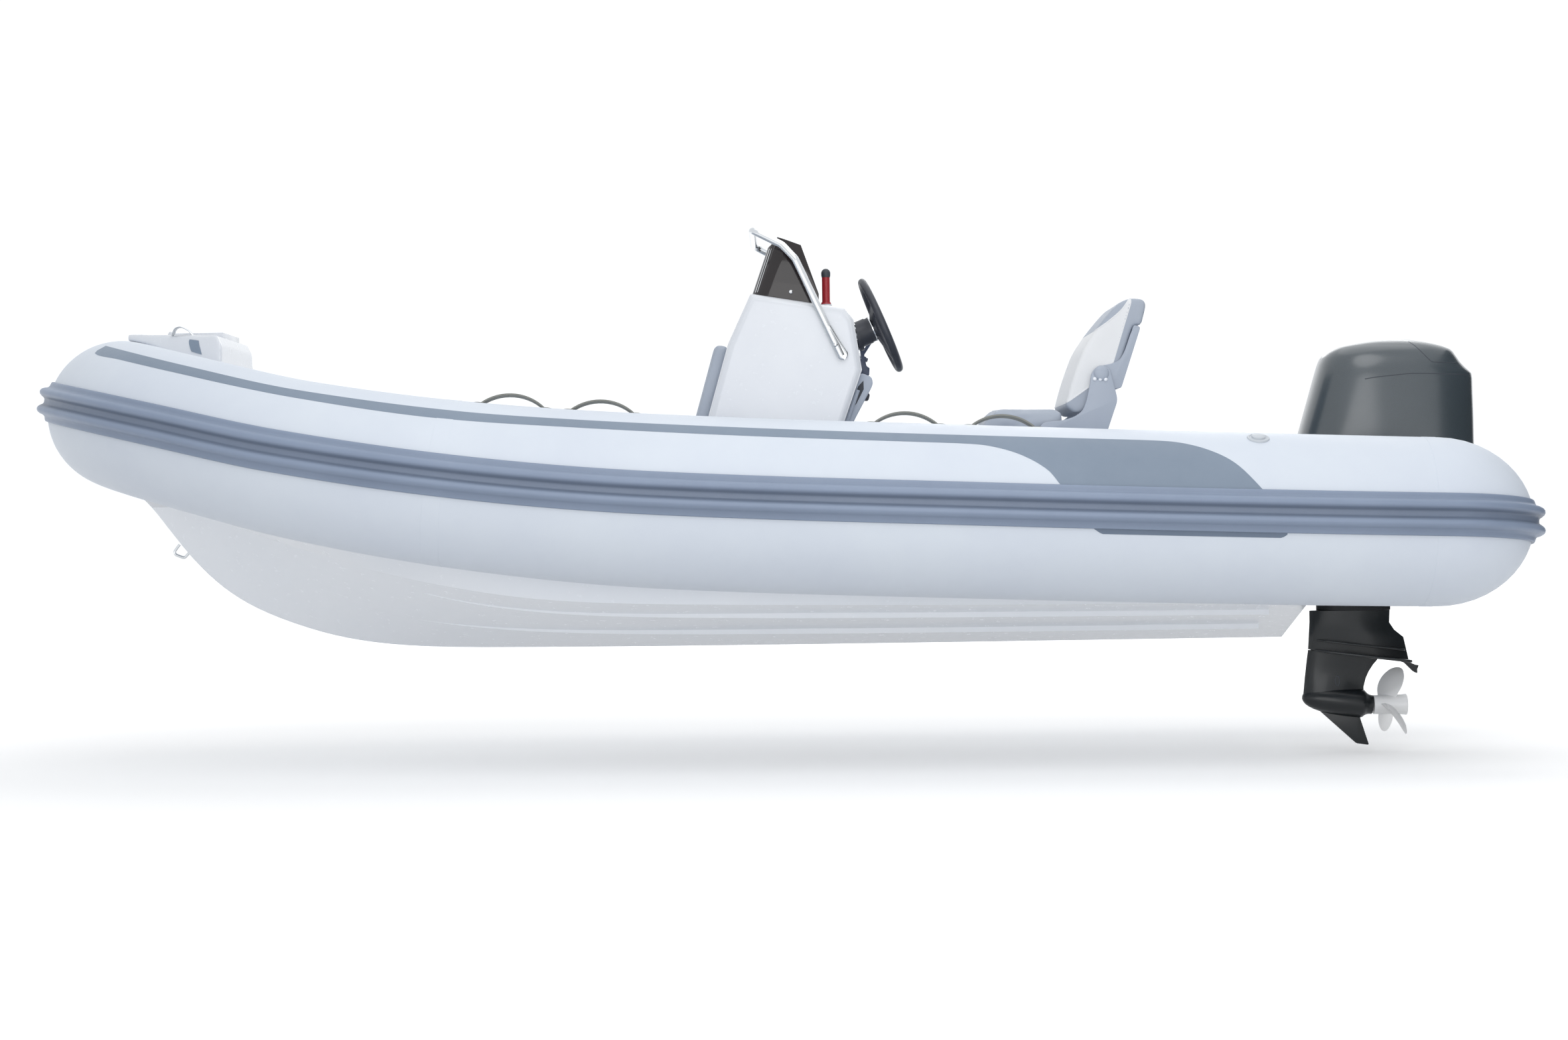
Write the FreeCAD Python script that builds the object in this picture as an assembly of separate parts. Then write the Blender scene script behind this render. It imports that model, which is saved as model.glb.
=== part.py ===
"""Five metre rigid inflatable boat with a console, a folding helm seat and an outboard motor.

X points forward to the bow, Y to port and Z up. The origin is on the centreline, at the
waterline, halfway along the boat. Every size is in millimetres.
"""
import FreeCAD
import Part

import math
import os

from FreeCAD import Vector

# Clearances
SEAT_GAP = 0.4            # between a curved face and the piece that lies on it
TRIM_DEPTH = 6.0          # how far a piece reaches in before it is trimmed to that face
FACE_GAP = 0.3            # between two flat faces of different pieces
MOVE_GAP = 6.0            # between a moving piece and what it passes
PIN_GAP = 0.06            # all round a pin in its bore

# Inflated collar: one round tube on each side, joined round the bow
TUBE_SIDE_Y = 770.0
TUBE_BEND_X = 1000.0      # where the sides start to curve in
TUBE_BOW_X = 2200.0       # tube centre on the centreline
TUBE_STERN_X = -2185.0    # where the blunt cones start
CONE_LENGTH = 310.0
BOW_REACH = TUBE_BOW_X - TUBE_BEND_X
BOW_Z = 625.0             # tube centre at the bow
BOW_RADIUS = 253.0
TUBE_HEIGHTS = [(-2500, 188), (-1700, 211), (-770, 245), (345, 296), (945, 354),
                (TUBE_BEND_X + 0.3875 * BOW_REACH, 440), (TUBE_BEND_X + 0.7 * BOW_REACH, 532),
                (TUBE_BOW_X, BOW_Z)]
TUBE_RADII = [(-2500, 270), (-1700, 276), (0, 281), (500, 279),
              (TUBE_BEND_X + 0.2417 * BOW_REACH, 262),
              (TUBE_BEND_X + 0.5417 * BOW_REACH, 255), (TUBE_BOW_X, BOW_RADIUS)]

# Rubber rub rail: a band with two rounded ribs
RAIL_LIFT_AFT = 5.0       # degrees above the widest line of the tube
RAIL_LIFT_BOW = 11.0
RAIL_HALF_WIDTH = 68.0
RAIL_THICKNESS = 9.0
RIB_SPACING = 54.0
RIB_HEIGHT = 37.0
RIB_HALF_WIDTH = 20.0
RAIL_VALLEY = 15.0

# Rigid hull
TRANSOM_X = -1815.0
TRANSOM_THICKNESS = 50.0
TRANSOM_TOP_Z = 300.0
TRANSOM_WING_Z = 400.0
MOTOR_NOTCH_HALF_WIDTH = 250.0
HULL_BOW_X = TUBE_BOW_X - 15.0
KEEL_SHARES = [(0.17, -193), (0.333, -170), (0.5, -118), (0.625, -58), (0.75, 50), (0.875, 205)]
CHINE_SHARES = [(0.05, 548, 30), (0.333, 445, 112), (0.583, 315, 205), (0.792, 180, 296),
                (0.9, 95, 340)]     # share of the bow's reach, half breadth, height
KEEL_LINE = ([(TRANSOM_X, -200), (0, -205), (900, -202)]
             + [(TUBE_BEND_X + share * BOW_REACH, z) for share, z in KEEL_SHARES]
             + [(HULL_BOW_X, 352)])
CHINE_HALF_BREADTH = ([(TRANSOM_X, 590), (0, 606), (650, 596)]
                      + [(TUBE_BEND_X + share * BOW_REACH, y) for share, y, _ in CHINE_SHARES]
                      + [(HULL_BOW_X, 24)])
CHINE_HEIGHT = ([(TRANSOM_X, -66), (-150, -50), (640, -28)]
                + [(TUBE_BEND_X + share * BOW_REACH, z) for share, _, z in CHINE_SHARES]
                + [(HULL_BOW_X, 372)])
HULL_STATION_SPACING = 200.0
CHINE_FLAT = 26.0
CHINE_DROP = 8.0
KEEL_HALF_WIDTH = 14.0
HULL_SEAT_ANGLE = -118.0  # where the hull's edge meets the tube, from straight outboard
STRAKE_HALF_BREADTHS = [195.0, 405.0]
STRAKE_WIDTH = 34.0
STRAKE_DEPTH = 17.0
STRAKE_AFT_X = TRANSOM_X + 115.0
STRAKE_BOW_X = [TUBE_BEND_X + 0.275 * BOW_REACH, TUBE_BEND_X + 0.1 * BOW_REACH]

# Cockpit
SOLE_TOP_Z = 48.0
SOLE_THICKNESS = 12.0
COCKPIT_HALF_WIDTH = 560.0
COCKPIT_TAPER_X = 600.0
COCKPIT_BOW_X = TUBE_BEND_X + 0.208 * BOW_REACH
COCKPIT_BOW_HALF_WIDTH = 300.0
WELL_LENGTH = 285.0       # raised splash well ahead of the transom
WELL_TOP_Z = 150.0
BOW_DECK_TOP_Z = 430.0
BOW_DECK_THICKNESS = 130.0

# Moulded bow step with its anchor locker
STEP_AFT_X = TUBE_BOW_X - 394.0
STEP_BOW_X = TUBE_BOW_X - 18.0
STEP_TOP_Z = BOW_Z + BOW_RADIUS + 14.0
STEP_AFT_HALF_WIDTH = 285.0
STEP_BOW_HALF_WIDTH = 120.0
LOCKER_AFT_X = STEP_AFT_X + 44.0
LOCKER_BOW_X = LOCKER_AFT_X + 160.0
LOCKER_HALF_WIDTH = 130.0
LOCKER_DEPTH = 85.0
LID_THICKNESS = 16.0
LID_OVERLAP = 18.0
CHOCK_X = STEP_AFT_X + 130.0
CHOCK_Y = 196.0
CHOCK_LENGTH = 74.0
CHOCK_HEIGHT = 26.0
CHOCK_WIRE = 6.0

# Fittings on the hull and the tubes
BOW_EYE_X = HULL_BOW_X - 173.0
BOW_EYE_WIRE = 5.0
BOW_EYE_REACH = 34.0
STRAP_CENTRES_X = [818.0, 520.0, -475.0, -790.0]
STRAP_SPAN = 224.0
STRAP_RISE = 46.0
STRAP_WIDTH = 30.0
STRAP_THICKNESS = 5.0
STRAP_FOOT = 46.0
STRAP_ANGLE = 104.0       # place round the tube, from straight outboard
VALVE_X = TUBE_STERN_X + 565.0
VALVE_ANGLE = 74.0
VALVE_RADIUS = 36.0
VALVE_HEIGHT = 7.0
TOW_EYE_Y = 420.0
TOW_EYE_Z = 190.0
TOW_EYE_BORE = 11.0
TOW_EYE_RADIUS = 24.0
TOW_EYE_THICKNESS = 12.0
TOW_EYE_REACH = 34.0

# Steering console
CONSOLE_HALF_WIDTH = 305.0
CONSOLE_WALL = 10.0
CONSOLE_FRONT_FOOT_X = 318.0
CONSOLE_FRONT_TOP_X = 17.0
CONSOLE_FRONT_TOP_Z = 998.0
CONSOLE_KNEE_X = 96.0
CONSOLE_KNEE_Z = 828.0
CONSOLE_BROW_X = -300.0
CONSOLE_BROW_Z = 946.0
CONSOLE_DASH_TOP_X = -331.0
CONSOLE_DASH_TOP_Z = 905.0
CONSOLE_DASH_FOOT_X = -358.0
CONSOLE_DASH_FOOT_Z = 735.0
CONSOLE_AFT_FOOT_X = -185.0
CONSOLE_AFT_FOOT_Z = 245.0
DOOR_WIDTH = 340.0
DOOR_TOP_Z = 712.0
DOOR_FOOT_Z = 300.0
DOOR_THICKNESS = 24.0
DOOR_OVERLAP = 20.0
HINGE_RADIUS = 8.0

# Windscreen and its guard rail
SCREEN_HALF_WIDTH = 262.0
SCREEN_THICKNESS = 6.0
SCREEN_CORNER = 62.0
SCREEN_TOP_FRONT_X = -57.0
SCREEN_TOP_FRONT_Z = 1200.0
SCREEN_TOP_AFT_X = -156.0
SCREEN_TOP_AFT_Z = 1163.0
SCREEN_AFT_X = -215.0
GUARD_TUBE_RADIUS = 12.5
GUARD_CREST_Y = 300.0
GUARD_FRONT_Y = 284.0
GUARD_FOOT_X = -288.0
GUARD_FOOT_Z = 780.0
GUARD_BEND_X = -135.0
GUARD_BEND_Z = 1112.0
GUARD_CREST_X = -92.0
GUARD_CREST_Z = 1160.0
GUARD_FRONT_X = 8.0
GUARD_FRONT_Z = 1212.0

# Seat on the front of the console
FRONT_PAD_HALF_WIDTH = 215.0
FRONT_PAD_THICKNESS = 38.0
FRONT_PAD_TOP_Z = 832.0
FRONT_SEAT_TOP_Z = 440.0
FRONT_SEAT_CUSHION = 60.0
FRONT_SEAT_LENGTH = 330.0
FRONT_SEAT_HALF_WIDTH = 250.0

# Helm: wheel, boss, switch box, red grip
WHEEL_X = -432.0
WHEEL_Z = 904.0
WHEEL_TILT = 22.9         # degrees of the shaft below straight ahead
WHEEL_RIM_RADIUS = 163.0
WHEEL_RIM_WIRE = 13.0
WHEEL_DISH = 34.0
WHEEL_HUB_RADIUS = 34.0
BOSS_RADIUS = 46.0
BOSS_LENGTH = 52.0
SHAFT_RADIUS = 11.0
SWITCH_BOX_Y = -170.0
GRIP_X = -241.0
GRIP_Y = 150.0
GRIP_RADIUS = 13.5
GRIP_HEIGHT = 126.0

# Helm seat
SEAT_FRONT_X = -766.0
SEAT_CUSHION_AFT_X = -1046.0
SEAT_CUSHION_TOP_Z = 588.0
SEAT_CUSHION_THICKNESS = 80.0
SEAT_HALF_WIDTH = 235.0
SEAT_BASE_AFT_X = -1250.0
SEAT_BASE_HALF_WIDTH = 300.0
SEAT_PIVOT_X = -1167.0
SEAT_PIVOT_Z = 712.0
SEAT_PAD_HALF_WIDTH = 205.0
SEAT_BRACKET_THICKNESS = 14.0
SEAT_PIN_RADIUS = 9.0
SEAT_SHELL_THICKNESS = 24.0

# Outboard motor
TILT_X = TRANSOM_X - 23.0
TILT_Z = TRANSOM_TOP_Z + 30.0
TILT_TUBE_RADIUS = 16.0
STEER_X = TILT_X - 70.0
CLAMP_HALF_SPACING = 92.0
CLAMP_EAR_THICKNESS = 20.0
SWIVEL_TUBE_RADIUS = 30.0
SWIVEL_TOP_Z = 318.0
SWIVEL_FOOT_Z = 70.0
STEER_PIN_RADIUS = 14.0
COWL_FRONT_X = STEER_X + 22.0
COWL_AFT_X = COWL_FRONT_X - 597.0
COWL_FOOT_Z = 392.0
COWL_TOP_Z = 835.0
COWL_HALF_WIDTH = 186.0
TRAY_DEPTH = 62.0
LEG_FRONT_X = STEER_X - 32.0
LEG_AFT_X = LEG_FRONT_X - 258.0
LEG_HALF_WIDTH = 52.0
LEG_JOINT_Z = -110.0
PLATE_Z = -236.0          # anti-ventilation plate
PLATE_THICKNESS = 9.0
PLATE_HALF_WIDTH = 92.0
PLATE_AFT_X = LEG_AFT_X - 68.0
PROP_AXIS_Z = -441.0
TORPEDO_RADIUS = 41.0
TORPEDO_NOSE_X = LEG_FRONT_X + 52.0
TORPEDO_AFT_X = LEG_AFT_X + 71.0
SKEG_DEPTH = 140.0        # below the propeller's axis
PROP_HUB_RADIUS = 34.0
PROP_HUB_LENGTH = 116.0
PROP_RADIUS = 130.0
PROP_BLADES = 3
PROP_SHAFT_RADIUS = 9.0
RAM_FOOT_X = TRANSOM_X - 27.0
RAM_FOOT_Z = TILT_Z - 262.0
RAM_EYE_X = TRANSOM_X - 35.0
RAM_EYE_Z = TILT_Z - 68.0
RAM_RADIUS = 14.0
RAM_ROD_RADIUS = 8.0
RAM_SLOT_HALF_WIDTH = 16.0


def smooth(table, x):
    """Value at x of the smooth curve through a table of (x, value) points."""
    if x <= table[0][0]:
        return float(table[0][1])
    if x >= table[-1][0]:
        return float(table[-1][1])
    slopes = []
    for index in range(len(table)):
        before = table[max(index - 1, 0)]
        after = table[min(index + 1, len(table) - 1)]
        slopes.append((after[1] - before[1]) / (after[0] - before[0]))
    for index in range(len(table) - 1):
        x0, y0 = table[index]
        x1, y1 = table[index + 1]
        if x <= x1:
            span = x1 - x0
            t = (x - x0) / span
            return ((2 * t**3 - 3 * t**2 + 1) * y0 + (t**3 - 2 * t**2 + t) * span * slopes[index]
                    + (3 * t**2 - 2 * t**3) * y1 + (t**3 - t**2) * span * slopes[index + 1])


def box(x0, x1, y0, y1, z0, z1):
    """Box between two corners given axis by axis."""
    return Part.makeBox(x1 - x0, y1 - y0, z1 - z0, Vector(x0, y0, z0))


def rod(start, end, radius):
    """Cylinder between two points."""
    run = Vector(*end) - Vector(*start)
    return Part.makeCylinder(radius, run.Length, Vector(*start), run)


def polygon(points):
    """Closed wire through points in space."""
    return Part.makePolygon([Vector(*p) for p in points] + [Vector(*points[0])])


def side_prism(outline, y0, y1):
    """Solid between y0 and y1 of an outline drawn from the side as (x, z) points."""
    face = Part.Face(polygon([(x, y0, z) for x, z in outline]))
    return face.extrude(Vector(0, y1 - y0, 0))


def plan_prism(outline, z0, z1):
    """Solid between z0 and z1 of an outline drawn from above as (x, y) points."""
    face = Part.Face(polygon([(x, y, z0) for x, y in outline]))
    return face.extrude(Vector(0, 0, z1 - z0))


def closed_curve(points):
    """Closed smooth wire through points."""
    curve = Part.BSplineCurve()
    curve.interpolate([Vector(*p) for p in points], PeriodicFlag=True)
    return Part.Wire([curve.toShape()])


def loft(wires, ruled=False):
    """Solid through a row of closed wires."""
    return Part.makeLoft(wires, True, ruled)


def fuse(solids):
    """One solid of several that share faces or volume."""
    whole = solids[0]
    for solid in solids[1:]:
        whole = whole.fuse(solid)
    return whole.removeSplitter()


def mirrored(solid):
    """Copy on the other side of the centreline."""
    return solid.mirror(Vector(0, 0, 0), Vector(0, 1, 0))


def pair(solid):
    """The solid and its mirror image, which don't touch."""
    return Part.makeCompound([solid, mirrored(solid)])


def rounded_pipe(points, radii, radius):
    """Round bar along straight runs, with an arc of its own radius at each inner point."""
    corners = [Vector(*p) for p in points]
    edges = []
    last = corners[0]
    for index in range(1, len(corners) - 1):
        back = (corners[index - 1] - corners[index]).normalize()
        ahead = (corners[index + 1] - corners[index]).normalize()
        half = back.getAngle(ahead) / 2
        reach = radii[index - 1] / math.tan(half)
        start = corners[index] + back * reach
        end = corners[index] + ahead * reach
        middle = (back + ahead).normalize()
        depth = radii[index - 1] / math.sin(half) - radii[index - 1]
        edges.append(Part.LineSegment(last, start).toShape())
        edges.append(Part.Arc(start, corners[index] + middle * depth, end).toShape())
        last = end
    edges.append(Part.LineSegment(last, corners[-1]).toShape())
    path = Part.Wire(edges)
    section = Part.Wire([Part.Circle(corners[0], corners[1] - corners[0], radius).toShape()])
    return path.makePipeShell([section], True, True)


def export(node, shape):
    """Write one node."""
    shape.exportStep("parts/" + node + ".step")


# Collar geometry

def tube_centre(t):
    """Centre of the port tube. t runs along it in millimetres, from 0 where the bend starts
    to the bend's length at the centreline, and below 0 along the side."""
    length = TUBE_BOW_X - TUBE_BEND_X
    if t <= 0:
        x = TUBE_BEND_X + t
        y = TUBE_SIDE_Y
    else:
        turn = math.pi / 2 * t / length
        x = TUBE_BEND_X + length * math.sin(turn)
        y = TUBE_SIDE_Y * math.cos(turn)
    return Vector(x, y, smooth(TUBE_HEIGHTS, x))


def tube_frame(t):
    """Centre, direction to the bow, outboard and up directions, and radius at t."""
    centre = tube_centre(t)
    step = 1.0
    ahead = (tube_centre(t + step) - tube_centre(t - step)).normalize()
    outboard = Vector(0, 0, 1).cross(ahead).normalize()
    return centre, ahead, outboard, ahead.cross(outboard), smooth(TUBE_RADII, centre.x)


def tube_circle(t, grow):
    """Round section of the tube at t."""
    centre, ahead, outboard, up, radius = tube_frame(t)
    matrix = FreeCAD.Matrix(outboard.x, up.x, ahead.x, centre.x, outboard.y, up.y, ahead.y,
                            centre.y, outboard.z, up.z, ahead.z, centre.z, 0, 0, 0, 1)
    edge = Part.Circle(Vector(0, 0, 0), Vector(0, 0, 1), radius + grow).toShape()
    edge.Placement = FreeCAD.Placement(matrix)
    return Part.Wire([edge])


def tube_side(grow=0.0):
    """Port side chamber with its blunt stern cone."""
    start = TUBE_STERN_X - TUBE_BEND_X
    steps = 7
    body = loft([tube_circle(start * (1 - i / steps), grow) for i in range(steps + 1)])
    return fuse([body, stern_cone(grow)])


def stern_cone(grow):
    """Half ellipsoid on the end of the port tube."""
    centre, ahead, outboard, up, radius = tube_frame(TUBE_STERN_X - TUBE_BEND_X)
    reach = CONE_LENGTH + grow
    wide = radius + grow
    tip = centre - ahead * reach
    if reach > wide:
        ellipse = Part.Ellipse(tip, centre + outboard * wide, centre)
    else:
        ellipse = Part.Ellipse(centre + outboard * wide, tip, centre)
    tip_at = ellipse.parameter(tip)
    side_at = ellipse.parameter(centre + outboard * wide)
    low, high = sorted((tip_at, side_at))
    if high - low > math.pi:
        low, high = high, low + 2 * math.pi
    arc = Part.ArcOfEllipse(ellipse, low, high).toShape()
    edges = [Part.LineSegment(centre, tip).toShape(), arc,
             Part.LineSegment(centre + outboard * wide, centre).toShape()]
    face = Part.Face(Part.Wire(Part.__sortEdges__(edges)))
    return face.revolve(centre, ahead, 360)


def tube_bow(grow=0.0):
    """Bow chamber from bend to bend, as one solid."""
    length = TUBE_BOW_X - TUBE_BEND_X
    steps = 7
    half = loft([tube_circle(length * i / steps, grow) for i in range(steps + 1)])
    return fuse([half, mirrored(half)])


def tube_surface(t, angle, height=0.0):
    """Point on the port tube at an angle round it from straight outboard, and its normal."""
    centre, ahead, outboard, up, radius = tube_frame(t)
    turn = math.radians(angle)
    normal = outboard * math.cos(turn) + up * math.sin(turn)
    return centre + normal * (radius + height), normal


# Rub rail

def rail_profile():
    """Outline of the rail as (across, out) points: a flat band with two rounded ribs."""
    half = RIB_SPACING / 2
    edge = RAIL_HALF_WIDTH
    right = [(edge, -TRIM_DEPTH), (edge - 3, RAIL_THICKNESS), (half + RIB_HALF_WIDTH, RAIL_THICKNESS + 2),
             (half + RIB_HALF_WIDTH * 0.45, RIB_HEIGHT * 0.72), (half, RIB_HEIGHT),
             (half - RIB_HALF_WIDTH * 0.45, RIB_HEIGHT * 0.72), (0, RAIL_VALLEY)]
    left = [(-across, out) for across, out in reversed(right[:-1])]
    foot = -TRIM_DEPTH
    return right + left + [(-edge / 2, foot), (0, foot), (edge / 2, foot)]


def rail_section(point, normal, across, bend_radius):
    """The rail's outline on a surface that bends across with the given radius."""
    centre = point - normal * bend_radius
    corners = []
    for offset, out in rail_profile():
        turn = offset / bend_radius
        direction = normal * math.cos(turn) + across * math.sin(turn)
        corners.append(centre + direction * (bend_radius + out))
    return Part.makePolygon(corners + [corners[0]])


def rail_lift(t):
    """Angle of the rail above the widest line of the tube."""
    share = max(0.0, t / (TUBE_BOW_X - TUBE_BEND_X))
    return RAIL_LIFT_AFT + (RAIL_LIFT_BOW - RAIL_LIFT_AFT) * share


def rail_side_sections(start, end, steps):
    """Rail outlines on the tube between two places along it."""
    wires = []
    for index in range(steps + 1):
        t = start + (end - start) * index / steps
        point, normal = tube_surface(t, rail_lift(t))
        ahead = tube_frame(t)[1]
        wires.append(rail_section(point, normal, ahead.cross(normal), tube_frame(t)[4]))
    return wires


def rail_cone_sections(steps, past_tip):
    """Rail outlines round the stern cone, from past its tip to its start."""
    centre, ahead, outboard, up, radius = tube_frame(TUBE_STERN_X - TUBE_BEND_X)
    lift = math.radians(RAIL_LIFT_AFT)
    out = outboard * math.cos(lift) + up * math.sin(lift)
    wires = []
    for index in range(steps + 1):
        turn = (math.pi / 2 + past_tip) * (1 - index / steps)
        point = centre + out * (radius * math.cos(turn)) - ahead * (CONE_LENGTH * math.sin(turn))
        normal = (out * (math.cos(turn) / radius) - ahead * (math.sin(turn) / CONE_LENGTH))
        normal.normalize()
        along = ahead * (CONE_LENGTH * math.cos(turn)) + out * (radius * math.sin(turn))
        along.normalize()
        bend = radius * (1 - 0.11 * math.sin(turn) ** 2)
        wires.append(rail_section(point, normal, along.cross(normal), bend))
    return wires


def rub_rail(seats):
    """Whole rail, from one stern cone round the bow to the other, trimmed to the tubes."""
    start = TUBE_STERN_X - TUBE_BEND_X
    bend = TUBE_BOW_X - TUBE_BEND_X
    cone = loft(rail_cone_sections(7, 0.2))
    side = loft(rail_side_sections(start, 0, 6))
    bow = loft(rail_side_sections(0, bend, 8))
    port_seat, starboard_seat, bow_seat = seats
    half = fuse([keep_largest(fuse([cone, side]).cut(port_seat)), keep_largest(bow.cut(bow_seat))])
    return fuse([half, mirrored(half)])


# Hull

def tube_at(x):
    """Tube centre across and up, and radius, at a place along the boat."""
    share = max(0.0, (x - TUBE_BEND_X) / (TUBE_BOW_X - TUBE_BEND_X))
    across = TUBE_SIDE_Y * math.sqrt(max(0.0, 1 - share**2))
    return across, smooth(TUBE_HEIGHTS, x), smooth(TUBE_RADII, x)


def hull_section(x):
    """Closed hull outline at a place along the boat, up to the bow deck's height."""
    across, height, radius = tube_at(x)
    turn = math.radians(HULL_SEAT_ANGLE)
    seat_y = max(across + radius * math.cos(turn) * 0.97, 30.0)
    seat_z = height + radius * math.sin(turn) * 0.97
    chine_y = smooth(CHINE_HALF_BREADTH, x)
    chine_z = smooth(CHINE_HEIGHT, x)
    flat = min(CHINE_FLAT, chine_y / 3)
    half = [(KEEL_HALF_WIDTH * min(1.0, chine_y / 60), smooth(KEEL_LINE, x)),
            (chine_y - flat, chine_z + CHINE_DROP), (chine_y, chine_z),
            (seat_y, max(seat_z, chine_z + 4)),
            (max(across - radius * 0.6, 30.0), BOW_DECK_TOP_Z)]
    ring = [(x, y, z) for y, z in half] + [(x, -y, z) for y, z in reversed(half)]
    return polygon(ring)


def strake(inner_y, bow_x):
    """One spray strake along the port bottom, running out to nothing at its bow end."""
    wires = []
    steps = 6
    for index in range(steps + 1):
        x = STRAKE_AFT_X + (bow_x - STRAKE_AFT_X) * index / steps
        keel_z = smooth(KEEL_LINE, x)
        chine_y = smooth(CHINE_HALF_BREADTH, x) - CHINE_FLAT
        slope = (smooth(CHINE_HEIGHT, x) + CHINE_DROP - keel_z) / (chine_y - KEEL_HALF_WIDTH)
        fade = min(1.0, 2.2 * (1 - index / steps) + 0.08)
        y0 = inner_y
        y1 = inner_y + STRAKE_WIDTH * fade
        z0 = keel_z + slope * (y0 - KEEL_HALF_WIDTH)
        z1 = keel_z + slope * (y1 - KEEL_HALF_WIDTH)
        sink = 6.0
        wires.append(polygon([(x, y0, z0 + sink), (x, y0, z0), (x, y1, z1 - STRAKE_DEPTH * fade),
                              (x, y1 + 3, z1 + sink)]))
    return loft(wires)


def cockpit_outline(inset=0.0):
    """Cockpit floor seen from above, from the transom to the bow deck."""
    aft = TRANSOM_X + TRANSOM_THICKNESS + inset
    bow = COCKPIT_BOW_X - inset
    wide = COCKPIT_HALF_WIDTH - inset
    narrow = COCKPIT_BOW_HALF_WIDTH - inset
    port = [(aft, wide), (COCKPIT_TAPER_X, wide), (bow - 90, narrow + 50), (bow, narrow - 40)]
    return port + [(x, -y) for x, y in reversed(port)]


def tube_seats():
    """The whole collar grown by the seat gap, to cut the pieces that lie on it."""
    side = tube_side(SEAT_GAP)
    return [side, mirrored(side), tube_bow(SEAT_GAP)]


def cut_by(solid, tools):
    """The solid with every tool cut away."""
    for tool in tools:
        solid = solid.cut(tool)
    return solid


def hull_parts(seats):
    """Hull, transom and bow deck, split where the mouldings meet."""
    count = round((HULL_BOW_X - TRANSOM_X) / HULL_STATION_SPACING)
    spacing = (HULL_BOW_X - TRANSOM_X) / count
    whole = loft([hull_section(TRANSOM_X + spacing * i) for i in range(count + 1)])
    whole = cut_by(whole, seats)
    sole_foot = SOLE_TOP_Z - SOLE_THICKNESS
    inner = TRANSOM_X + TRANSOM_THICKNESS
    high = BOW_DECK_TOP_Z + 1
    whole = whole.cut(plan_prism(cockpit_outline(), sole_foot, high))
    split_z = BOW_DECK_TOP_Z - BOW_DECK_THICKNESS
    wide = TUBE_SIDE_Y
    transom = whole.common(box(TRANSOM_X - 1, inner, -wide, wide, sole_foot, TRANSOM_WING_Z))
    notch = side_prism([(TRANSOM_X - 2, TRANSOM_TOP_Z), (inner + 2, TRANSOM_TOP_Z),
                        (inner + 2, high), (TRANSOM_X - 2, high)],
                       -MOTOR_NOTCH_HALF_WIDTH, MOTOR_NOTCH_HALF_WIDTH)
    transom = transom.cut(notch)
    deck = whole.common(box(COCKPIT_BOW_X - 150, TUBE_BOW_X, -wide, wide, split_z, high))
    hull = whole.cut(box(TRANSOM_X - 2, inner, -wide, wide, sole_foot, high))
    hull = hull.cut(box(inner - 1, TUBE_BOW_X, -wide, wide, split_z, high))
    hull = keep_largest(hull)
    rails = []
    for inner_y, bow_x in zip(STRAKE_HALF_BREADTHS, STRAKE_BOW_X):
        rails.append(strake(inner_y, bow_x))
        rails.append(mirrored(rails[-1]))
    return fuse([hull] + rails), keep_largest(transom), keep_largest(deck)


def keep_largest(shape):
    """The largest solid of a shape."""
    return max(shape.Solids, key=lambda solid: solid.Volume)


def deck_liner(seats):
    """Cockpit sole with the raised splash well ahead of the transom."""
    foot = SOLE_TOP_Z - SOLE_THICKNESS
    sole = plan_prism(cockpit_outline(FACE_GAP), foot + FACE_GAP, SOLE_TOP_Z)
    aft = TRANSOM_X + TRANSOM_THICKNESS + FACE_GAP
    wide = COCKPIT_HALF_WIDTH - FACE_GAP
    well = box(aft, aft + WELL_LENGTH, -wide, wide, foot + FACE_GAP, WELL_TOP_Z)
    return keep_largest(cut_by(fuse([sole, well]), seats))


# Bow step, its lid and chocks

def step_lid_outline(grow=0.0):
    """Anchor locker lid from above."""
    aft = LOCKER_AFT_X - LID_OVERLAP - grow
    bow = LOCKER_BOW_X + LID_OVERLAP + grow
    wide = LOCKER_HALF_WIDTH + LID_OVERLAP + grow
    return [(aft, -wide), (bow, -wide + 20), (bow, wide - 20), (aft, wide)]


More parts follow.
